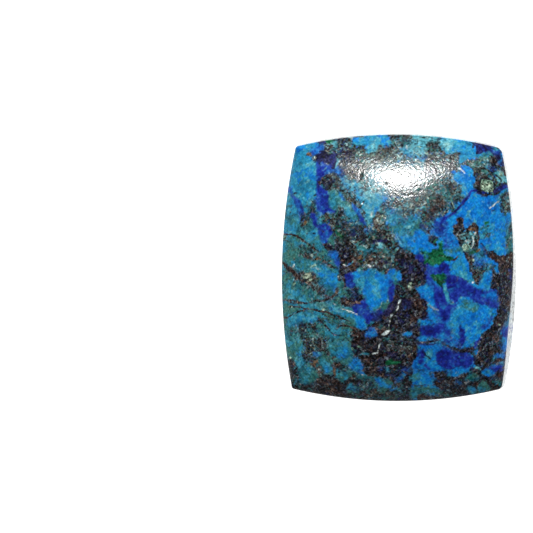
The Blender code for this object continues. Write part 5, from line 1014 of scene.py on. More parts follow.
    Patch(DARK, (-1.2, -8.9, 0.6, -8.8, 0.8, -9.7, -1.4, -9.7), 0.12, 0.2, 0.6, 0.4),
    Patch(DARK, (-1.0, -7.9, -0.3, -7.7, 0.1, -8.3, -0.3, -8.6, -0.7, -8.2), 0.12, 0.2, 0.5, 0.4),
    Patch(UMBER, (-2.4, -9.0, -1.6, -8.8, -1.2, -9.2, -2.0, -9.6), 0.12, 0.2, 0.6, 0.3),
    Patch(SKY, (-1.6, -8.05, -1.3, -8.0, -0.9, -8.35, -0.6, -8.6, -0.9, -8.7, -1.4, -8.35), 0.07, 0.1, 0.7),
    Vein(CYAN, (-0.5, -8.9, 0.0, -8.75, 0.3, -9.0), 0.16, 0.08, 0.08, 0.5),
    Patch(UMBER, (-5.5, -7.8, -4.6, -7.9, -4.1, -8.4, -4.0, -9.2, -5.0, -9.1, -5.9, -8.5), 0.12, 0.25, 0.5, 0.3),
    Patch(RUST, (-6.3, -6.9, -6.0, -6.8, -5.7, -7.1, -5.5, -7.5, -5.7, -7.7, -6.0, -7.4), 0.12, 0.2, 0.55, 0.6),
    Patch(TEAL, (-3.5, -6.7, -2.9, -6.6, -2.6, -7.1, -3.0, -7.5, -3.6, -7.2), 0.15, 0.25, 0.35, 0.5),
    Patch(ROCK, (-4.9, -6.3, -4.2, -6.2, -3.8, -6.6, -4.3, -6.9, -5.0, -6.8), 0.12, 0.2, 0.5, 0.5),
    Patch(AZURITE, (5.6, -2.1, 6.2, -2.15, 6.9, -2.55, 6.9, -2.75, 6.2, -2.65, 5.6, -2.4), 0.08, 0.1, 0.7),
    Patch(AZURITE, (2.9, 0.2, 3.2, 0.4, 3.6, 0.1, 3.6, -0.3, 3.1, -0.25), 0.08, 0.12, 0.6),
    Patch(BLUE, (-5.9, 5.0, -5.3, 5.2, -4.9, 4.5, -5.1, 3.9, -5.6, 3.9), 0.12, 0.2, 0.4),
    Patch(BLUE, (-6.1, 3.6, -5.4, 3.2, -5.0, 2.6, -5.2, 1.9, -5.7, 2.6), 0.1, 0.2, 0.35),
    Patch(DARK, (7.0, 0.8, 7.9, 0.9, 8.4, 0.0, 8.2, -3.0, 7.6, -3.2, 7.4, -1.5, 7.3, 0.0), 0.12, 0.25, 0.5, 0.4),
    Patch(DARK, (6.3, -4.8, 7.3, -4.5, 7.4, -5.6, 6.9, -6.4, 6.0, -6.6, 6.0, -5.4), 0.12, 0.25, 0.55, 0.3),
    Patch(DARK, (-4.9, 3.6, -3.8, 3.8, -3.4, 3.0, -3.6, 1.8, -4.4, 2.2), 0.15, 0.3, 0.3, 0.5),
    Patch(GREEN, (-4.6, 2.8, -4.1, 3.0, -3.8, 2.2, -4.0, 1.7, -4.4, 2.1), 0.15, 0.25, 0.35, 0.6),
    Patch(UMBER, (-8.3, 0.4, -7.2, -0.1, -5.9, -0.3, -5.2, -1.2, -4.4, -2.0, -5.4, -2.0, -6.6, -1.2, -7.6, -0.9,
                  -8.3, -0.3), 0.15, 0.3, 0.45, 0.6),
    Patch(ROCK, (-7.4, 2.0, -6.4, 2.0, -5.2, 1.2, -4.6, 0.4, -5.4, 0.3, -6.6, 0.8, -7.2, 1.4), 0.15, 0.3, 0.5, 0.6),
    Patch(ROCK, (-7.9, -3.9, -6.9, -3.9, -5.2, -4.6, -3.9, -5.0, -3.8, -5.6, -6.6, -5.5, -7.9, -4.9), 0.15, 0.3,
          0.45, 0.6),
    Vein(UMBER, (-8.4, -2.3, -7.5, -2.55, -6.6, -2.5, -5.7, -2.45, -5.0, -2.25, -4.5, -1.85), 0.07, 0.05, 0.06, 0.7),
    Vein(DARK, (-5.9, -1.6, -5.2, -2.0, -4.5, -2.3, -3.7, -2.6, -2.9, -2.7), 0.07, 0.05, 0.06, 0.6),
    Vein(UMBER, (-5.9, -3.8, -5.1, -3.85, -4.4, -4.15, -3.6, -4.25, -2.9, -4.6), 0.05, 0.05, 0.05, 0.7),
    Vein(UMBER, (-8.1, -2.95, -7.0, -3.1, -6.0, -3.25, -5.0, -3.45, -4.1, -3.9, -3.3, -4.0), 0.05, 0.05, 0.05, 0.6),
    Patch(CYAN, (-0.4, 2.9, 0.3, 2.7, 0.8, 2.9, 1.0, 2.3, 0.7, 1.7, 0.4, 1.5, 0.0, 2.0), 0.1, 0.2, 0.6, 0.4),
    Vein(NAVY, (0.6, 3.0, 0.85, 2.5, 1.1, 2.0), 0.16, 0.1, 0.12, 0.45),
    Patch(ROCK, (1.7, 3.6, 2.4, 4.0, 3.0, 3.4, 2.9, 2.5, 2.2, 2.3, 1.8, 2.9), 0.15, 0.2, 0.55, 0.4),
    Patch(AZURITE, (2.7, 3.0, 3.1, 3.7, 3.5, 3.6, 3.4, 2.9, 3.2, 2.4, 2.8, 2.4), 0.12, 0.2, 0.55, 0.3),
    Patch(NAVY, (1.8, -2.9, 2.3, -3.0, 2.4, -3.7, 2.1, -4.4, 1.7, -4.2, 1.6, -3.5), 0.2, 0.25, 0.5, 0.7),
    Patch(AZURITE, (1.6, -1.6, 2.1, -1.5, 2.3, -2.2, 2.1, -2.8, 1.8, -2.3), 0.2, 0.25, 0.4, 0.6),
    Patch(TEAL, (2.0, 6.1, 3.4, 6.6, 4.2, 5.6, 3.6, 4.4, 2.4, 4.0, 1.4, 4.4, 1.6, 5.4), 0.2, 0.3, 0.35, 0.6),
    Patch(UMBER, (2.6, 5.1, 3.1, 5.2, 3.6, 4.6, 3.3, 4.1, 2.6, 4.1, 2.3, 4.6), 0.15, 0.25, 0.5, 0.5),
    Patch(RUST, (2.9, 5.0, 3.3, 4.9, 3.2, 4.6, 2.8, 4.7), 0.12, 0.15, 0.5, 0.6),
    Patch(ROCK, (0.8, 9.5, 2.0, 9.4, 3.4, 9.3, 3.3, 8.2, 2.0, 7.9, 0.7, 8.3), 0.2, 0.3, 0.4, 0.7),
    Patch(PALE, (1.1, 9.2, 1.9, 9.0, 2.0, 8.3, 1.4, 8.1, 1.0, 8.6), 0.2, 0.3, 0.35, 0.6),
    Patch(TEAL, (-0.3, 9.5, 0.9, 9.5, 1.0, 8.6, 0.1, 8.4, -0.5, 8.9), 0.2, 0.3, 0.4, 0.6),
    Patch(AZURITE, (3.5, -0.6, 4.4, -0.6, 5.2, -1.1, 6.0, -1.5, 6.8, -1.9, 7.3, -1.8, 7.3, -2.9, 6.6, -2.9, 5.7, -2.4,
                    5.0, -1.9, 4.4, -1.8, 3.8, -1.2), 0.1, 0.15, 0.6, 0.2),
    Patch(AZURITE, (2.7, -2.3, 3.4, -2.6, 4.2, -2.2, 4.3, -2.9, 3.6, -3.5, 3.4, -4.4, 2.8, -4.6, 2.5, -3.6), 0.15, 0.2,
          0.5, 0.3),
    Patch(AZURITE, (2.8, -5.9, 3.3, -5.75, 4.0, -6.0, 4.7, -6.15, 5.2, -6.3, 5.35, -6.7, 5.2, -7.05, 4.6, -7.2,
                    4.0, -7.25, 3.4, -7.25, 2.9, -6.9, 2.7, -6.4), 0.08, 0.15, 0.6),
    Patch(ROCK, (7.8, 3.2, 8.6, 3.4, 8.7, 1.0, 7.9, 1.0), 0.15, 0.2, 0.5, 0.4),
    Patch(ROCK, (5.2, 0.4, 5.9, 0.3, 6.6, 0.3, 6.9, 0.0, 6.5, -0.4, 6.1, -0.5, 5.9, -0.95, 5.5, -0.8, 5.3, -0.3),
          0.12, 0.15, 0.7, 0.3),
    Patch(SKY, (6.05, -0.5, 6.4, -0.4, 6.7, -0.7, 6.6, -1.15, 6.1, -1.1), 0.08, 0.1, 0.8),
    Vein(DARK, (6.9, 0.2, 6.85, -0.4, 6.95, -1.0, 7.2, -1.5), 0.24, 0.1, 0.1, 0.8),
    Patch(DARK, (7.2, -0.9, 8.1, -1.1, 8.1, -3.6, 7.6, -3.7, 7.2, -2.2), 0.15, 0.2, 0.6, 0.2),
    Patch(DARK, (6.2, -4.7, 7.2, -4.4, 7.5, -5.2, 7.2, -6.0, 6.4, -6.7, 5.9, -6.2), 0.15, 0.2, 0.5, 0.2),
    Patch(TEAL, (4.7, 1.6, 5.1, 1.6, 5.2, 1.35, 4.9, 1.2), 0.08, 0.12, 0.5, 0.3),
    Patch(DARK, (3.9, -5.4, 5.3, -5.4, 5.5, -6.1, 4.9, -6.2, 4.0, -6.0), 0.15, 0.25, 0.45, 0.5),
    Patch(DARK, (5.4, -5.3, 6.8, -5.4, 6.7, -7.9, 5.6, -8.0, 5.6, -6.6), 0.2, 0.3, 0.4, 0.6),
    Patch(ROCK, (0.1, 2.7, 1.3, 2.8, 1.4, 1.5, 0.7, 1.4, 0.2, 1.8), 0.2, 0.3, 0.4, 0.6),
    Patch(ROCK, (-6.6, -1.3, -4.1, -1.3, -4.0, -2.6, -6.4, -2.7), 0.2, 0.3, 0.35, 0.5),
    Patch(ROCK, (5.4, 1.4, 6.8, 0.8, 6.8, -1.2, 5.4, -1.3), 0.2, 0.3, 0.3, 0.5),
    Patch(AZURITE, (2.7, -4.0, 4.1, -4.0, 4.1, -5.3, 2.8, -5.3), 0.2, 0.3, 0.45, 0.4),
    Patch(ROCK, (-6.8, -6.7, -5.4, -6.7, -5.4, -8.1, -6.8, -8.0), 0.2, 0.3, 0.35, 0.5),
    # Partly painted highlight haze: more pale chrysocolla below left of the highlight, where the highlight's haze
    # falls.
    Patch(PALE, (-2.7, 5.5, -1.5, 5.5, -1.4, 4.2, -2.4, 4.2), 0.2, 0.3, 0.4, 0.4),
    Patch(PALE, (4.1, 6.8, 5.2, 6.7, 5.2, 5.4, 4.2, 5.5), 0.2, 0.3, 0.3, 0.4),
    Patch(CYAN, (-4.0, 4.2, -2.8, 4.1, -2.7, 2.8, -3.9, 2.9), 0.2, 0.3, 0.35, 0.5),
    Patch(UMBER, (-5.4, -2.7, -4.0, -2.7, -4.0, -4.0, -5.4, -4.0), 0.2, 0.3, 0.2, 0.6),
    Patch(ROCK, (-6.8, -4.0, -5.4, -4.0, -5.4, -5.4, -6.8, -5.4), 0.2, 0.3, 0.35, 0.5),
    Patch(ROCK, (-4.0, -6.7, -2.8, -6.8, -2.7, -8.0, -4.0, -8.0), 0.2, 0.3, 0.35, 0.5),
    Patch(ROCK, (6.8, 5.5, 8.1, 5.4, 8.1, 4.2, 6.9, 4.1), 0.2, 0.3, 0.3, 0.5),
    Patch(ROCK, (4.0, 2.9, 5.5, 2.8, 5.6, 1.4, 4.2, 1.4), 0.15, 0.3, 0.25, 0.5),
    Patch(CYAN, (-2.9, -0.6, -2.0, -0.4, -1.4, -0.9, -1.5, -1.8, -2.2, -2.0, -2.9, -1.4), 0.15, 0.25, 0.45),
    Vein(DARK, (6.1, -7.25, 6.6, -6.95, 7.1, -6.7, 7.8, -6.6), 0.22, 0.1, 0.1, 0.85),
    Vein(DARK, (6.3, -7.95, 6.9, -7.75, 7.3, -7.4, 7.9, -7.1), 0.18, 0.1, 0.1, 0.8),
    Vein(DARK, (6.2, -8.2, 7.0, -8.05, 7.8, -7.85), 0.2, 0.1, 0.1, 0.8),
    Vein(ROCK, (7.2, -5.6, 7.4, -6.0, 7.9, -6.1), 0.2, 0.1, 0.1, 0.7),
    Patch(TEAL, (5.8, -8.85, 6.2, -8.3, 6.6, -8.6, 6.55, -8.95), 0.06, 0.1, 0.8),
    Patch(TEAL, (6.9, -8.35, 7.3, -8.15, 7.6, -8.3, 7.3, -8.5), 0.06, 0.1, 0.7),
    # Painted shade: thin black and dark lines laid along the girdle's rim, at the top right, the right, the left, the
    # top and the bottom, where the dome turns away from the light.
    Vein(BLACK, (5.5, 9.1, 6.6, 8.9, 7.4, 8.66, 7.75, 8.2, 7.95, 7.3), 0.16, 0.05, 0.08, 0.75),
    Vein(BLACK, (8.12, -4.8, 7.92, -6.0, 7.78, -7.2, 7.6, -8.5), 0.14, 0.05, 0.08, 0.7),
    Vein(DARK, (-7.4, 8.5, -7.75, 7.0, -8.1, 5.4, -8.35, 3.8, -8.5, 2.0), 0.06, 0.04, 0.06, 0.6),
    Vein(DARK, (-3.6, 9.45, -2.0, 9.6, 0.0, 9.62, 2.4, 9.55), 0.07, 0.05, 0.06, 0.6),
    Vein(DARK, (-7.3, -8.9, -5.5, -9.3, -3.0, -9.55, 0.0, -9.65, 2.5, -9.6, 4.5, -9.4, 6.4, -9.05), 0.16, 0.08, 0.12,
         0.6),
)

PITS = (
    Spot(BLACK, (-2.63, 6.64), 0.3, 0.13, 80, cut=0.09),
    Spot(BLACK, (-2.5, 4.75), 0.16, 0.13, 0, cut=0.05),
    Spot(BLACK, (-0.85, 6.07), 0.1, 0.1, 0, cut=0.03, cover=0.6),
    Spot(BLACK, (1.62, 5.62), 0.22, 0.1, 30, cut=0.04, cover=0.8),
    Vein(BLACK, (0.3, 5.3, 0.6, 5.2, 0.8, 5.2, 0.95, 5.35), 0.08, cover=0.6, cut=0.02),
    Spot(CREAM, (1.65, 5.47), 0.22, 0.1, 30, cover=0.5),
)


# Which mineral holds bodies of which other: host, guest, how fine the random field is from 0 to 3,
# its channel, the level where the guest begins, and how fully it takes the host's place.
MINGLINGS = (
    (SKY, CYAN, 1, 0, 0.04, 0.6),
    (SKY, BLUE, 1, 1, 0.12, 0.5),
    (SKY, PALE, 2, 2, 0.22, 0.45),
    (SKY, TEAL, 2, 1, 0.24, 0.4),
    (CYAN, SKY, 1, 2, 0.02, 0.55),
    (CYAN, TEAL, 2, 0, 0.10, 0.6),
    (CYAN, PALE, 2, 1, 0.20, 0.5),
    (TEAL, CYAN, 1, 1, 0.00, 0.6),
    (TEAL, ROCK, 2, 2, 0.14, 0.55),
    (TEAL, PALE, 3, 0, 0.24, 0.5),
    (AZURITE, BLUE, 1, 2, 0.08, 0.6),
    (AZURITE, NAVY, 2, 1, 0.10, 0.5),
    (BLUE, AZURITE, 1, 0, 0.06, 0.6),
    (BLUE, SKY, 2, 2, 0.08, 0.6),
    (ROCK, DARK, 1, 0, 0.04, 0.7),
    (ROCK, TEAL, 2, 1, 0.08, 0.6),
    (ROCK, UMBER, 2, 2, 0.10, 0.7),
    (ROCK, BLUE, 2, 0, 0.20, 0.5),
    (ROCK, CREAM, 3, 2, 0.30, 0.5),
    (DARK, UMBER, 1, 2, 0.06, 0.7),
    (DARK, NAVY, 2, 0, 0.10, 0.6),
    (DARK, TEAL, 2, 1, 0.22, 0.5),
    (DARK, CREAM, 3, 1, 0.34, 0.5),
    (UMBER, DARK, 2, 1, 0.06, 0.7),
    (UMBER, ROCK, 2, 2, 0.12, 0.6),
)


@dataclass(frozen=True)
class CushionForm:
    """The ground shape of the stone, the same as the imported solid's."""

    top_left: tuple[float, float] = (-7.30, 8.74)
    top_right: tuple[float, float] = (7.51, 8.62)
    bottom_right: tuple[float, float] = (7.59, -8.73)
    bottom_left: tuple[float, float] = (-7.59, -8.76)
    top_bulge: float = 0.92
    bottom_bulge: float = 0.90
    side_bulge: float = 0.87
    rounding: tuple[float, float, float, float] = (0.15, 0.35, 0.25, 0.15)
    wall_height: float = 1.60
    dome_height: float = 2.80
    wall_draft: float = 0.06
    right_draft: float = 0.09
    grind: float = 0.14
    grind_middle: float = -4.6
    grind_spread: float = 3.6
    bevel: float = 0.25
    fullness: float = 0.82
    ridge: float = 1.5

    @staticmethod
    def arc(start: tuple, end: tuple, bulge: float, share: np.ndarray) -> np.ndarray:
        """Points of a circular arc that rises by bulge to the left of the way from start to end.

        Args:
            start: where the arc starts.
            end: where it ends.
            bulge: how far its middle stands out from the chord.
            share: how far along it each point is, from 0 to 1.

        Returns:
            One plan position a row.
        """
        first, last = np.array(start), np.array(end)
        chord = last - first
        half = np.linalg.norm(chord) / 2
        along = chord / (2 * half)
        outward = np.array([-along[1], along[0]])
        radius = (half * half + bulge * bulge) / (2 * bulge)
        angle = (2 * share - 1)[:, None] * math.asin(half / radius)
        middle = (first + last) / 2 + outward * (bulge - radius)
        return middle + along * radius * np.sin(angle) + outward * radius * np.cos(angle)

    def plan(self, u: np.ndarray, v: np.ndarray) -> np.ndarray:
        """Plan positions of grid places, each from -1 to 1, blended between the four side arcs."""
        top = self.arc(self.top_left, self.top_right, self.top_bulge, (1 + u) / 2)
        right = self.arc(self.top_right, self.bottom_right, self.side_bulge, (1 - v) / 2)
        bottom = self.arc(self.bottom_right, self.bottom_left, self.bottom_bulge, (1 - u) / 2)
        left = self.arc(self.bottom_left, self.top_left, self.side_bulge, (1 + v) / 2)
        a, b = u[:, None], v[:, None]
        corners = (
            (1 - a) * (1 + b) * np.array(self.top_left)
            + (1 + a) * (1 + b) * np.array(self.top_right)
            + (1 + a) * (1 - b) * np.array(self.bottom_right)
            + (1 - a) * (1 - b) * np.array(self.bottom_left)
        )
        across = ((1 - a) * left + (1 + a) * right) / 2
        along = ((1 - b) * bottom + (1 + b) * top) / 2
        place = across + along - corners / 4 + self.corner_shift(u, v)
        place[:, 0] -= self.grind_at(place)
        return place

    def corner_shift(self, u: np.ndarray, v: np.ndarray) -> np.ndarray:
        """How far the nearest corner's rounding draws each grid place in towards the middle."""
        top_left, top_right, bottom_right, bottom_left = self.rounding
        reach = np.where(
            v > 0, np.where(u > 0, top_right, top_left), np.where(u > 0, bottom_right, bottom_left)
        )
        from_side = np.clip(1 - (1 - abs(u)) * self.top_right[0] / reach, 0, 1)
        from_end = np.clip(1 - (1 - abs(v)) * self.top_right[1] / reach, 0, 1)
        pull = reach / 4 * (from_side * from_end) ** 2
        return np.stack([-np.copysign(pull, u), -np.copysign(pull, v)], axis=1)

    def grind_at(self, place: np.ndarray) -> np.ndarray:
        """How much further in than its arc the girdle was ground beside each plan position."""
        near = np.exp(-(((place[:, 1] - self.grind_middle) / self.grind_spread) ** 2))
        return self.grind * near * np.maximum(0.0, place[:, 0] / self.top_right[0]) ** 4

    def rise(self, u: np.ndarray, v: np.ndarray) -> np.ndarray:
        """The dome's height above the girdle at each grid place."""
        rim = math.sqrt(1 - self.fullness**2)
        across, along = (
            np.maximum((np.sqrt(1 - (self.fullness * w) ** 2) - rim) / (1 - rim), 1e-6) for w in (u, v)
        )
        joined = across**-self.ridge + along**-self.ridge - 1
        return self.dome_height * joined ** (-1 / self.ridge)

    def wall_step(self, place: Vector, share: float) -> Vector:
        """How far a point that starts at the girdle moves for this share of the wall's height.

        Args:
            place: the point at the girdle.
            share: how far down the wall, from 0 at the girdle to 1 at the back's bevel.

        Returns:
            The move outwards and down.
        """
        outward = Vector(((place.x / self.top_right[0]) ** 5, (place.y / self.top_right[1]) ** 5)).normalized()
        extra = self.right_draft * max(0.0, outward.x) + float(self.grind_at(np.array([[place.x, place.y]]))[0])
        drop = self.wall_height - self.bevel
        return Vector((outward.x * self.wall_draft + extra, outward.y * self.wall_draft, -drop)) * share


class MineralMap:
    """Works out which mineral shows at each point of the stone, from its drawn patches."""

    girdle = 1.6
    # Strength of the painted reflection: a pale share laid on the right-hand wall, for the white table that the wall
    # would mirror.
    painted_wall_reflection = 0.5
    slant = np.array([0.035, 0.05])
    offset = np.array([0.06, 0.0])

    def __init__(self, areas: tuple[tuple[Patch | Vein | Spot, ...], ...]) -> None:
        """Keeps the drawn patches in the order they lie over each other."""
        self.drawn = [piece for area in areas for piece in area]

    @staticmethod
    def blending(piece: Patch | Vein | Spot) -> float:
        """How many times its own softness a piece's edge blends over, before the grain breaks it up."""
        if not isinstance(piece, Patch):
            return 1.4
        return 3.2 if piece.mineral in (TEAL, CYAN, SKY, PALE, BLUE, AZURITE) else 2.2

    @staticmethod
    def wander(spots: np.ndarray, scale: float, seed: float) -> np.ndarray:
        """Smooth random values, three for each point.

        Args:
            spots: positions in the stone, one a row.
            scale: how many times a millimetre the values change.
            seed: moves the pattern, so that two patterns differ.

        Returns:
            Three values from about -1 to 1 for each point.
        """
        moved = spots * scale + seed
        return np.array([noise.noise_vector(Vector(spot)) for spot in moved.tolist()])

    def shares(self, spots: np.ndarray, depth: np.ndarray) -> tuple[np.ndarray, np.ndarray]:
        """The share of each mineral at each point, and how deep the surface is cut there.

        The pattern drawn on the dome runs on down into the stone, drifting sideways with depth, so
        that the wall and the back carry on the same bodies of mineral.

        Args:
            spots: positions in the stone, one a row.
            depth: how far each lies below the dome.

        Returns:
            One row of shares a point, in the order of Mineral, and one cut depth a point.
        """
        order = {mineral: number for number, mineral in enumerate(Mineral)}
        broad = self.wander(spots, 0.45, 11.3)
        middle = self.wander(spots, 1.7, 4.1)
        fine = self.wander(spots, 4.6, 7.7)
        grain = self.wander(spots, 8.5, 2.9)
        under = np.clip(depth / 2.0, 0, 1)[:, None]
        places = spots[:, :2] * (1 - 0.045 * depth[:, None]) + depth[:, None] * np.array([0.16, -0.1])
        places = places + under * 1.6 * broad[:, :2] + 0.07 * middle[:, :2] + 0.05 * fine[:, :2]
        places = places - np.maximum(spots[:, 2:] - self.girdle, 0.0) * self.slant - self.offset
        shares = np.zeros((len(spots), len(Mineral)))
        shares[:, order[TEAL]] = 1.0
        cut = np.zeros(len(spots))
        for number, piece in enumerate(self.drawn):
            points = piece.points()
            low = points.min(0) - piece.reach()
            high = points.max(0) + piece.reach()
            near = np.nonzero(((places > low) & (places < high)).all(1))[0]
            if not len(near):
                continue
            turn = number % 3
            edge = 0.45 * middle[near, turn] + 0.4 * fine[near, turn] + 0.3 * grain[near, turn]
            stray = 2.6 if isinstance(piece, Patch) else 1.6
            inside = piece.inside(places[near]) + piece.ragged * edge * stray
            cover = smooth_step(0.5 + inside / (2 * piece.soft * self.blending(piece)))
            if piece.speckle:
                broken = smooth_step(0.5 + 2.2 * (0.6 * fine[near, turn - 1] + 0.6 * grain[near, turn - 2]))
                cover = cover * (1 - piece.speckle * (1 - broken))
            cut[near] += piece.cut * cover
            cover = cover * piece.cover
            shares[near] *= 1 - cover[:, None]
            shares[near, order[piece.mineral]] += cover
        self.mingle(shares, order, (broad, middle, fine, grain))
        # Painted reflection: below the girdle, the wall on the right-hand side takes a pale share of the bright
        # crystal's tones. It stands for the white table mirrored in the wall.
        painted_wall_reflection = smooth_step(depth / 0.12) * smooth_step((1.75 - depth) / 0.3) * smooth_step((spots[:, 0] - 6.6) / 1.0)
        painted_wall_reflection = self.painted_wall_reflection * painted_wall_reflection * smooth_step(0.9 + fine[:, 0])
        shares *= 1 - painted_wall_reflection[:, None]
        shares[:, order[GLINT]] += painted_wall_reflection
        return shares, cut

    @staticmethod
    def mingle(shares: np.ndarray, order: dict, waves: tuple[np.ndarray, ...]) -> None:
        """Lets each mineral hold small natural bodies of the ones it grew with.

        Args:
            shares: one row of shares a point, changed in place.
            order: each mineral's place in a row.
            waves: four random fields from broad to fine, three channels each.
        """
        for host, guest, field, channel, least, amount in MINGLINGS:
            wave = 0.75 * waves[field][:, channel] + 0.4 * waves[min(field + 1, 3)][:, (channel + 1) % 3]
            taken = amount * smooth_step((wave - least) / 0.16) * shares[:, order[host]]
            shares[:, order[host]] -= taken
            shares[:, order[guest]] += taken


@dataclass(frozen=True)
class Finish:
    """How one mineral looks when polished.

    Tones are the colours it runs through, each with its place from 0 to 1 along the grain pattern.
    Crystal is how much of that pattern comes from hard-edged grains, and the rest is cloud. Tatter is
    how far the mineral's edges break up into grains, and contrast how strongly its fine streaks show.
    """

    tones: tuple[tuple[float, tuple[int, int, int]], ...]
    crystal: float = 0.0
    tatter: float = 0.4
    roughness: float = 0.16
    relief: float = 0.2
    contrast: float = 0.4


FINISHES = {
    TEAL: Finish(((0.30, (30, 78, 88)), (0.43, (33, 102, 116)), (0.52, (50, 116, 114)), (0.62, (60, 110, 102)),
                  (0.75, (87, 143, 133))), 0.10, 0.35, 0.16, 0.5, contrast=0.42),
    CYAN: Finish(((0.32, (30, 104, 140)), (0.46, (34, 132, 170)), (0.56, (52, 148, 178)), (0.7, (92, 172, 180))),
                 0.08, 0.3, 0.16, 0.5, contrast=0.3),
    SKY: Finish(((0.30, (4, 86, 168)), (0.44, (8, 114, 204)), (0.54, (16, 134, 212)), (0.64, (28, 148, 204)),
                 (0.76, (78, 172, 212))), 0.05, 0.25, 0.16, 0.42, contrast=0.28),
    PALE: Finish(((0.32, (64, 140, 152)), (0.5, (88, 168, 184)), (0.68, (140, 196, 196))), 0.15, 0.4,
                 contrast=0.45),
    BLUE: Finish(((0.3, (22, 46, 130)), (0.45, (28, 82, 166)), (0.56, (40, 112, 184)), (0.7, (70, 140, 188))),
                 0.10, 0.3, 0.16, 0.42, contrast=0.3),
    AZURITE: Finish(((0.30, (16, 20, 92)), (0.44, (22, 36, 138)), (0.55, (30, 54, 158)), (0.66, (44, 84, 174)),
                     (0.78, (84, 130, 190))), 0.08, 0.25, 0.16, 0.4, contrast=0.28),
    NAVY: Finish(((0.3, (10, 10, 26)), (0.45, (22, 22, 60)), (0.58, (34, 38, 89)), (0.74, (57, 65, 120))),
                 0.2, 0.4, 0.16, 0.6, contrast=0.55),
    ROCK: Finish(((0.24, (6, 9, 13)), (0.34, (31, 34, 32)), (0.41, (24, 55, 63)), (0.47, (72, 53, 42)),
                  (0.53, (42, 79, 80)), (0.60, (94, 92, 74)), (0.67, (57, 109, 122)), (0.78, (147, 162, 154))),
                 0.66, 1.0, 0.235, 1.0, contrast=1.1),
    DARK: Finish(((0.26, (3, 5, 8)), (0.36, (13, 13, 20)), (0.45, (27, 23, 24)), (0.52, (21, 29, 52)),
                  (0.58, (45, 35, 32)), (0.66, (38, 51, 72)), (0.78, (98, 102, 106))), 0.66, 1.0, 0.235, 0.9,
                 contrast=1.1),
    UMBER: Finish(((0.24, (11, 9, 12)), (0.38, (41, 27, 24)), (0.50, (67, 40, 33)), (0.60, (58, 52, 52)),
                   (0.76, (115, 94, 81))), 0.6, 0.9, 0.2, 0.9, contrast=1.0),
    GREEN: Finish(((0.25, (8, 39, 25)), (0.45, (8, 80, 50)), (0.6, (14, 101, 63)), (0.75, (37, 120, 86))),
                  0.3, 0.5, contrast=0.6),
    RUST: Finish(((0.25, (52, 36, 26)), (0.5, (92, 62, 34)), (0.75, (138, 100, 50))), 0.3, 0.6, 0.3, 0.5,
                 contrast=0.6),
    CREAM: Finish(((0.25, (56, 100, 92)), (0.5, (112, 146, 126)), (0.75, (188, 204, 178))), 0.35, 0.5,
                  contrast=1.1),
    # Near-white tones, so that the bright crystals also show as painted glints. The painted wall reflection takes
    # these tones too.
    GLINT: Finish(((0.25, (160, 190, 200)), (0.5, (216, 226, 224)), (0.75, (246, 247, 240))), 0.3, 0.4, 0.16,
                  contrast=0.6),
    BLACK: Finish(((0.3, (4, 5, 8)), (0.7, (16, 18, 26))), 0.2, 0.5, 0.4, 0.4, contrast=0.3),
}


def light_of(tone: tuple[int, int, int]) -> tuple[float, float, float, float]:
    """Turns a colour as seen, from 0 to 255, into the amount of light it stands for."""
    parts = [part / 255 for part in tone]
    return (*(p / 12.92 if p <= 0.04045 else ((p + 0.055) / 1.055) ** 2.4 for p in parts), 1.0)


class NodeDesk:
    """Adds nodes to a material and joins them up."""

    def __init__(self, tree: bpy.types.NodeTree) -> None:
        """Starts on an empty node tree."""
        self.tree = tree

    def add(self, kind: str, inputs: dict | None = None, **settings: object) -> bpy.types.Node:
        """Adds one node.

        Args:
            kind: the node's type name without its ShaderNode prefix.
            inputs: for each input's name or number, a value or the output socket to join to it.
            settings: the node's own settings by name.

        Returns:
            The new node.
        """
        node = self.tree.nodes.new("ShaderNode" + kind)
        for name, value in settings.items():
            setattr(node, name, value)
        for name, value in (inputs or {}).items():
            if isinstance(value, bpy.types.NodeSocket):
                self.tree.links.new(value, node.inputs[name])
            else:
                node.inputs[name].default_value = value
        return node

    def sum(self, operation: str, *values: object) -> bpy.types.NodeSocket:
        """Adds a Math node and returns its result."""
        return self.add("Math", dict(enumerate(values)), operation=operation).outputs[0]

    def vector(self, operation: str, *values: object) -> bpy.types.NodeSocket:
        """Adds a Vector Math node and returns its vector result."""
        return self.add("VectorMath", dict(enumerate(values)), operation=operation).outputs[0]


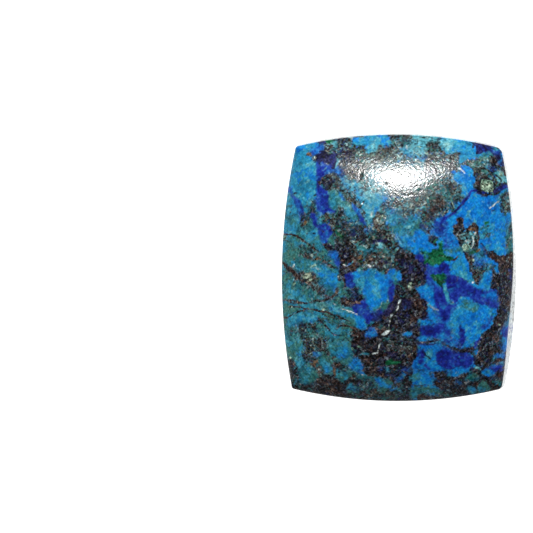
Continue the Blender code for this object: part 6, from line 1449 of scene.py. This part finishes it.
class StoneMaterial:
    """The polished surface: every mineral's grain, mixed by the share of it that each point holds."""

    clouds_per_mm = 1.25
    mottles_per_mm = 3.8
    grains_per_mm = (2.5, 5.0)
    streaks_per_mm = 8.0
    streak_length = 2.2
    streak_turns = (38.0, -52.0)
    sparkle = 3.8
    frost = 0.03
    grain_waver = 0.16
    crispness = 2.1
    exposure = 1.2

    def build(self) -> bpy.types.Material:
        """Makes the material."""
        material = bpy.data.materials.new("polished_azurite_chrysocolla")
        material.use_nodes = True
        tree = material.node_tree
        tree.nodes.clear()
        desk = NodeDesk(tree)
        place = desk.add("TexCoord").outputs["Object"]
        spot = desk.add("Mapping", {"Vector": place, "Scale": (1 / MM,) * 3}).outputs[0]
        cloud = self.soft_pattern(desk, spot, self.clouds_per_mm, 5.0)
        mottle = self.soft_pattern(desk, spot, self.mottles_per_mm, 4.0)
        speck, cross = (self.streaks(desk, spot, turn) for turn in self.streak_turns)
        centred = desk.vector("SUBTRACT", mottle, (0.5, 0.5, 0.5))
        waver = desk.vector("MULTIPLY_ADD", centred, (self.grain_waver * 2,) * 3, spot)
        big, small = (
            desk.add("TexVoronoi", {"Vector": waver, "Scale": scale}).outputs["Color"] for scale in self.grains_per_mm
        )
        halves = desk.vector("MULTIPLY", big, (0.5, 0.5, 0.5))
        grains = desk.vector("MULTIPLY_ADD", small, (0.5, 0.5, 0.5), halves)
        soft = desk.vector("MULTIPLY_ADD", centred, (0.55, 0.55, 0.55), cloud)
        patterns = [desk.add("SeparateXYZ", {0: held}) for held in (soft, grains, mottle, speck)]
        crossing = desk.add("SeparateXYZ", {0: cross})
        colour, traits, total = self.mix_minerals(desk, *patterns)
        share = desk.sum("DIVIDE", 1.0, total)
        base = desk.add("VectorMath", {0: colour, "Scale": share}, operation="SCALE").outputs[0]
        even = desk.add("VectorMath", {0: traits, "Scale": share}, operation="SCALE").outputs[0]
        parts = desk.add("SeparateXYZ", {0: even})
        glitter = desk.sum("SUBTRACT", desk.sum("ADD", patterns[3].outputs[0], crossing.outputs[0]), 1.0)
        swing = desk.sum("MULTIPLY", parts.outputs[2], self.sparkle / self.exposure)
        shade = desk.sum("MAXIMUM", desk.sum("MULTIPLY_ADD", glitter, swing, 1 / self.exposure), 0.06)
        shaded = desk.add("VectorMath", {0: base, "Scale": shade}, operation="SCALE").outputs[0]
        flash = desk.sum("MULTIPLY", desk.sum("MAXIMUM", glitter, 0.0), swing)
        tint = desk.vector("MULTIPLY_ADD", desk.add("CombineXYZ", {0: flash, 1: flash, 2: flash}).outputs[0],
                           (self.frost,) * 3, shaded)
        relief = desk.sum("MULTIPLY_ADD", desk.sum("SUBTRACT", patterns[3].outputs[1], 0.5), 1.0,
                          desk.sum("SUBTRACT", crossing.outputs[1], 0.5))
        height = desk.sum("MULTIPLY", relief, parts.outputs[1])
        bump = desk.add("Bump", {"Height": height, "Strength": 1.0, "Distance": 0.012 * MM})
        rough = desk.sum("MULTIPLY_ADD", desk.sum("SUBTRACT", patterns[2].outputs[2], 0.5), 0.15, parts.outputs[0])
        shader = desk.add(
            "BsdfPrincipled",
            {"Base Color": tint, "Roughness": rough, "Normal": bump.outputs[0], "IOR": 1.38, "Metallic": 0.0},
        )
        result = desk.add("OutputMaterial")
        tree.links.new(shader.outputs[0], result.inputs[0])
        return material

    @staticmethod
    def soft_pattern(desk: NodeDesk, spot: bpy.types.NodeSocket, scale: float,
                     detail: float) -> bpy.types.NodeSocket:
        """Adds a cloudy pattern with three unlike channels and returns it."""
        node = desk.add("TexNoise", {"Vector": spot, "Scale": scale, "Detail": detail, "Roughness": 0.6})
        return node.outputs["Color"]

    def streaks(self, desk: NodeDesk, spot: bpy.types.NodeSocket, turn: float) -> bpy.types.NodeSocket:
        """Adds a pattern of fine streaks that run across the stone at this turn, in degrees."""
        scale = (1 / self.streaks_per_mm, self.streak_length / self.streaks_per_mm, 1 / self.streaks_per_mm)
        turned = desk.add("Mapping", {"Vector": spot, "Rotation": (0.0, 0.0, math.radians(turn)), "Scale": scale},
                          vector_type="TEXTURE").outputs[0]
        return self.soft_pattern(desk, turned, 1.0, 1.5)

    def mix_minerals(self, desk: NodeDesk, soft: bpy.types.Node, grains: bpy.types.Node,
                     mottle: bpy.types.Node, speck: bpy.types.Node) -> tuple:
        """Adds up every mineral's colour and traits, each by its share.

        Args:
            desk: where the nodes go.
            soft: three cloudy patterns.
            grains: three hard-edged grain patterns.
            mottle: three patterns of small blotches.
            speck: three patterns of fine specks.

        Returns:
            The summed colour, the summed roughness and relief, and the sum of the shares.
        """
        colour: object = (0.0, 0.0, 0.0)
        traits: object = (0.0, 0.0, 0.0)
        total: object = 1e-4
        for number, (mineral, finish) in enumerate(FINISHES.items()):
            turn = number % 3
            held = desk.add("Attribute", attribute_name=mineral.name.lower()).outputs["Fac"]
            torn = desk.sum("ADD", mottle.outputs[turn], speck.outputs[(turn + 1) % 3])
            sway = desk.sum("MULTIPLY_ADD", desk.sum("SUBTRACT", torn, 1.0), 3.2 * finish.tatter, 1.0)
            swayed = desk.sum("MULTIPLY", held, desk.sum("MAXIMUM", sway, 0.02))
            weight = desk.sum("POWER", swayed, self.crispness)
            mixed = desk.sum("MULTIPLY_ADD", grains.outputs[turn], finish.crystal,
                             desk.sum("MULTIPLY", soft.outputs[turn], 1 - finish.crystal))
            tone = self.tone_ramp(desk, finish, mixed)
            colour = desk.vector("MULTIPLY_ADD", tone, weight, colour)
            traits = desk.vector("MULTIPLY_ADD", (finish.roughness, finish.relief, finish.contrast), weight, traits)
            total = desk.sum("ADD", weight, total)
        return colour, traits, total

    @staticmethod
    def tone_ramp(desk: NodeDesk, finish: Finish, pattern: bpy.types.NodeSocket) -> bpy.types.NodeSocket:
        """Runs one mineral's pattern through its tones and returns the colour."""
        ramp = desk.add("ValToRGB", {"Fac": pattern})
        stops = ramp.color_ramp.elements
        while len(stops) < len(finish.tones):
            stops.new(0.5)
        for stop, (place, tone) in zip(stops, finish.tones):
            stop.position = place
            stop.color = light_of(tone)
        return ramp.outputs[0]


@dataclass
class Cabochon:
    """The stone: a fine mesh of the cushion form, with its minerals and its surface relief."""

    form: CushionForm
    minerals: MineralMap
    cells_across: int = 236
    cells_along: int = 272
    wall_shares: tuple[float, ...] = (0.03, 0.08, 0.3, 0.53, 0.76, 0.95, 1.0)
    back_thinning: float = 2.4
    crowding: float = 0.35
    undulation: float = 0.007
    grit: float = 0.004

    def places(self, number: np.ndarray, cells: int) -> np.ndarray:
        """Turns grid line numbers into places from -1 to 1, a little closer together at the girdle."""
        widest = math.pi / 2 * self.crowding
        return np.sin(widest * (2 * number / cells - 1)) / math.sin(widest)

    def shape_grid(self, mesh: bmesh.types.BMesh, verts: list, cells: tuple[int, int], inset: float,
                   domed: bool) -> None:
        """Moves a flat grid's points onto the dome, or onto the flat back.

        Args:
            mesh: the mesh that holds the grid.
            verts: the grid's points, from -1 to 1 both ways.
            cells: how many cells the grid has across and along.
            inset: how far the grid is drawn in from the girdle, as a share of its size.
            domed: whether the grid is the dome.
        """
        flat = np.array([vert.co[:2] for vert in verts])
        u = self.places(np.rint((flat[:, 0] + 1) / 2 * cells[0]), cells[0])
        v = self.places(np.rint((flat[:, 1] + 1) / 2 * cells[1]), cells[1])
        plan = self.form.plan(u, v) * (1 - inset)
        rise = self.form.rise(u, v)
        below = mesh.verts.layers.float["below"]
        for vert, place, height in zip(verts, plan.tolist(), rise.tolist()):
            vert.co = (*place, self.form.wall_height + height if domed else 0.0)
            vert[below] = 0.0 if domed else self.form.wall_height + height

    def lower_wall(self, mesh: bmesh.types.BMesh, girdle: list) -> None:
        """Carries the girdle's edges down the wall and round the bevel.

        Args:
            mesh: the mesh being built.
            girdle: the dome's open edges.
        """
        below = mesh.verts.layers.float["below"]
        edges, last = girdle, 0.0
        for share in (*self.wall_shares, None):
            made = bmesh.ops.extrude_edge_only(mesh, edges=edges)["geom"]
            fresh = [item for item in made if isinstance(item, bmesh.types.BMVert)]
            for vert in fresh:
                if share is None:
                    inward = -vert.co.xy.normalized() * self.form.bevel
                    vert.co += Vector((inward.x, inward.y, -vert.co.z))
                else:
                    step = self.form.wall_step(vert.co, share - last)
                    vert.co += step
                vert[below] = self.form.wall_height - vert.co.z
            edges = [item for item in made if isinstance(item, bmesh.types.BMEdge) and item.is_boundary]
            last = share or last

    def solid(self) -> bmesh.types.BMesh:
        """Builds the closed form: dome, wall, bevel and back."""
        mesh = bmesh.new()
        mesh.verts.layers.float.new("below")
        bmesh.ops.create_grid(mesh, x_segments=self.cells_across, y_segments=self.cells_along, size=1)
        self.shape_grid(mesh, list(mesh.verts), (self.cells_across, self.cells_along), 0.0, True)
        self.lower_wall(mesh, [edge for edge in mesh.edges if edge.is_boundary])
        coarse = (round(self.cells_across / self.back_thinning), round(self.cells_along / self.back_thinning))
        back = bmesh.ops.create_grid(mesh, x_segments=coarse[0], y_segments=coarse[1], size=1)["verts"]
        self.shape_grid(mesh, back, coarse, 0.07, False)
        bmesh.ops.bridge_loops(mesh, edges=[edge for edge in mesh.edges if edge.is_boundary])
        bmesh.ops.recalc_face_normals(mesh, faces=mesh.faces)
        return mesh

    def build(self) -> bpy.types.Object:
        """Builds the stone and dresses it.

        Returns:
            The finished stone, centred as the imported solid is.
        """
        mesh = self.solid()
        data = bpy.data.meshes.new("polished_cabochon")
        mesh.to_mesh(data)
        mesh.free()
        data.shade_smooth()
        spots = np.empty(len(data.vertices) * 3)
        data.vertices.foreach_get("co", spots)
        spots = spots.reshape(-1, 3)
        outward = np.empty(spots.size)
        data.vertices.foreach_get("normal", outward)
        outward = outward.reshape(-1, 3)
        depth = np.empty(len(spots))
        data.attributes["below"].data.foreach_get("value", depth)
        shares, cut = self.minerals.shares(spots, depth)
        for number, mineral in enumerate(Mineral):
            layer = data.attributes.new(mineral.name.lower(), "FLOAT", "POINT")
            layer.data.foreach_set("value", shares[:, number].astype(np.float32))
        data.attributes.remove(data.attributes["below"])
        height = self.relief(spots, shares) - cut
        spots = spots + outward * np.minimum(height, 0.02)[:, None]
        spots[:, 2] = np.maximum(spots[:, 2], 0.0)
        middle = (spots.max(0) + spots.min(0)) / 2
        spots -= np.array([middle[0], middle[1], 0.0])
        data.vertices.foreach_set("co", (spots * MM).ravel())
        data.update()
        stone = bpy.data.objects.new("polished_cabochon", data)
        bpy.context.scene.collection.objects.link(stone)
        stone.data.materials.append(StoneMaterial().build())
        log.info("stone of %d faces, %s mm", len(data.polygons), np.round(np.ptp(spots, axis=0), 2))
        return stone

    def relief(self, spots: np.ndarray, shares: np.ndarray) -> np.ndarray:
        """How far hand polishing left each point of the surface above or below the true form."""
        order = [FINISHES[mineral].relief for mineral in Mineral]
        softness = shares @ np.array(order)
        swell = MineralMap.wander(spots, 0.55, 21.0)[:, 0]
        grit = MineralMap.wander(spots, 6.5, 31.0)[:, 0]
        return self.undulation * swell * 0.5 + self.grit * softness * grit - 0.006 * softness


@dataclass
class Table:
    """The pale table that the stone lies on, lit softly from below."""

    width: float = 2400.0
    tone: tuple[float, float, float] = (0.3, 0.3, 0.3)
    glow: float = 1.3

    def build(self) -> bpy.types.Object:
        """Makes the table top."""
        mesh = bmesh.new()
        bmesh.ops.create_grid(mesh, x_segments=8, y_segments=8, size=self.width / 2 * MM)
        data = bpy.data.meshes.new("table")
        mesh.to_mesh(data)
        mesh.free()
        table = bpy.data.objects.new("table", data)
        bpy.context.scene.collection.objects.link(table)
        material = bpy.data.materials.new("pale_table")
        material.use_nodes = True
        shader = material.node_tree.nodes["Principled BSDF"]
        shader.inputs["Base Color"].default_value = (*self.tone, 1.0)
        shader.inputs["Roughness"].default_value = 0.9
        shader.inputs["Specular IOR Level"].default_value = 0.1
        shader.inputs["Emission Color"].default_value = (1.0, 1.0, 1.0, 1.0)
        shader.inputs["Emission Strength"].default_value = self.glow
        table.data.materials.append(material)
        return table


@dataclass
class Lamp:
    """One soft rectangular lamp, aimed at the stone."""

    name: str
    place: tuple[float, float, float]
    size: tuple[float, float]
    power: float
    tone: tuple[float, float, float] = (1.0, 1.0, 1.0)

    def build(self) -> bpy.types.Object:
        """Makes the lamp."""
        data = bpy.data.lights.new(self.name, "AREA")
        data.shape = "RECTANGLE"
        data.size, data.size_y = (side * MM for side in self.size)
        data.energy = self.power
        data.color = self.tone
        lamp = bpy.data.objects.new(self.name, data)
        lamp.location = Vector(self.place) * MM
        lamp.rotation_euler = (-lamp.location).to_track_quat("-Z", "Y").to_euler()
        bpy.context.scene.collection.objects.link(lamp)
        return lamp


@dataclass
class Studio:
    """The table, the light and the camera."""

    picture_width: float = 533.0
    stone_middle: tuple[float, float] = (398.2, 268.1)
    mm_a_pixel: float = 0.0721
    distance: float = 380.0
    tip: tuple[float, float] = (2.0, 3.5)
    focus_height: float = 1.6
    dusk: float = 0.07
    horizon: float = 0.25
    lamps: tuple[Lamp, ...] = (Lamp("key", (-9.0, 302.0, 370.0), (18.0, 14.0), 2.95),)

    def build(self) -> None:
        """Sets the stage round the stone."""
        Table().build()
        for lamp in self.lamps:
            lamp.build()
        self.light_room()
        self.aim_camera()
        view = bpy.context.scene.view_settings
        view.view_transform = "Standard"
        view.look = "None"

    def light_room(self) -> None:
        """Makes a room that is dim overhead and a little brighter towards the horizon."""
        world = bpy.data.worlds.new("studio")
        bpy.context.scene.world = world
        world.use_nodes = True
        world.node_tree.nodes.clear()
        desk = NodeDesk(world.node_tree)
        way = desk.add("SeparateXYZ", {0: desk.add("TexCoord").outputs["Generated"]})
        low = desk.add("MapRange", {0: way.outputs[2], 1: 0.05, 2: 0.6, 3: self.horizon, 4: self.dusk})
        glow = desk.add("Background", {"Color": (1.0, 1.0, 1.0, 1.0), "Strength": low.outputs[0]})
        world.node_tree.links.new(glow.outputs[0], desk.add("OutputWorld").inputs[0])

    def aim_camera(self) -> None:
        """Sets the camera over the stone, which stands right of the middle of the picture."""
        focus = Vector((0.0, 0.0, self.focus_height))
        lean = Vector((math.tan(math.radians(self.tip[0])), math.tan(math.radians(self.tip[1])), 1.0)).normalized()
        half = self.picture_width / 2
        aside = (self.stone_middle[0] - half) * self.mm_a_pixel
        above = (half - self.stone_middle[1]) * self.mm_a_pixel
        data = bpy.data.cameras.new("camera")
        data.lens = data.sensor_width / (self.picture_width * self.mm_a_pixel) * self.distance
        data.clip_start, data.clip_end = 0.01, 10.0
        camera = bpy.data.objects.new("camera", data)
        bpy.context.scene.collection.objects.link(camera)
        place = focus + lean * self.distance
        right = Vector((0.0, 1.0, 0.0)).cross(lean).normalized()
        up = lean.cross(right)
        aim = (focus - right * aside - up * above - place).normalized()
        side = aim.cross(up).normalized()
        rise = side.cross(aim)
        turn = aim.to_track_quat("-Z", "Y").to_matrix()
        for row in range(3):
            turn[row][0], turn[row][1], turn[row][2] = side[row], rise[row], -aim[row]
        camera.matrix_world = turn.to_4x4()
        camera.location = place * MM
        bpy.context.scene.camera = camera


def main() -> None:
    """Builds the stone and its studio."""
    noise.seed_set(NOISE_SEED)
    logging.basicConfig(level=logging.INFO, format="%(name)s: %(message)s")
    areas = (GROUND, UPPER_LEFT, UPPER_RIGHT, MIDDLE_RIGHT, CENTRE, MIDDLE_LEFT, LOWER_MIDDLE, LOWER_LEFT,
             LOWER_RIGHT, PITS)
    stone = Cabochon(CushionForm(), MineralMap(areas)).build()
    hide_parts("cabochon")
    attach(stone, "root")
    Studio().build()


if __name__ == "__main__":
    main()
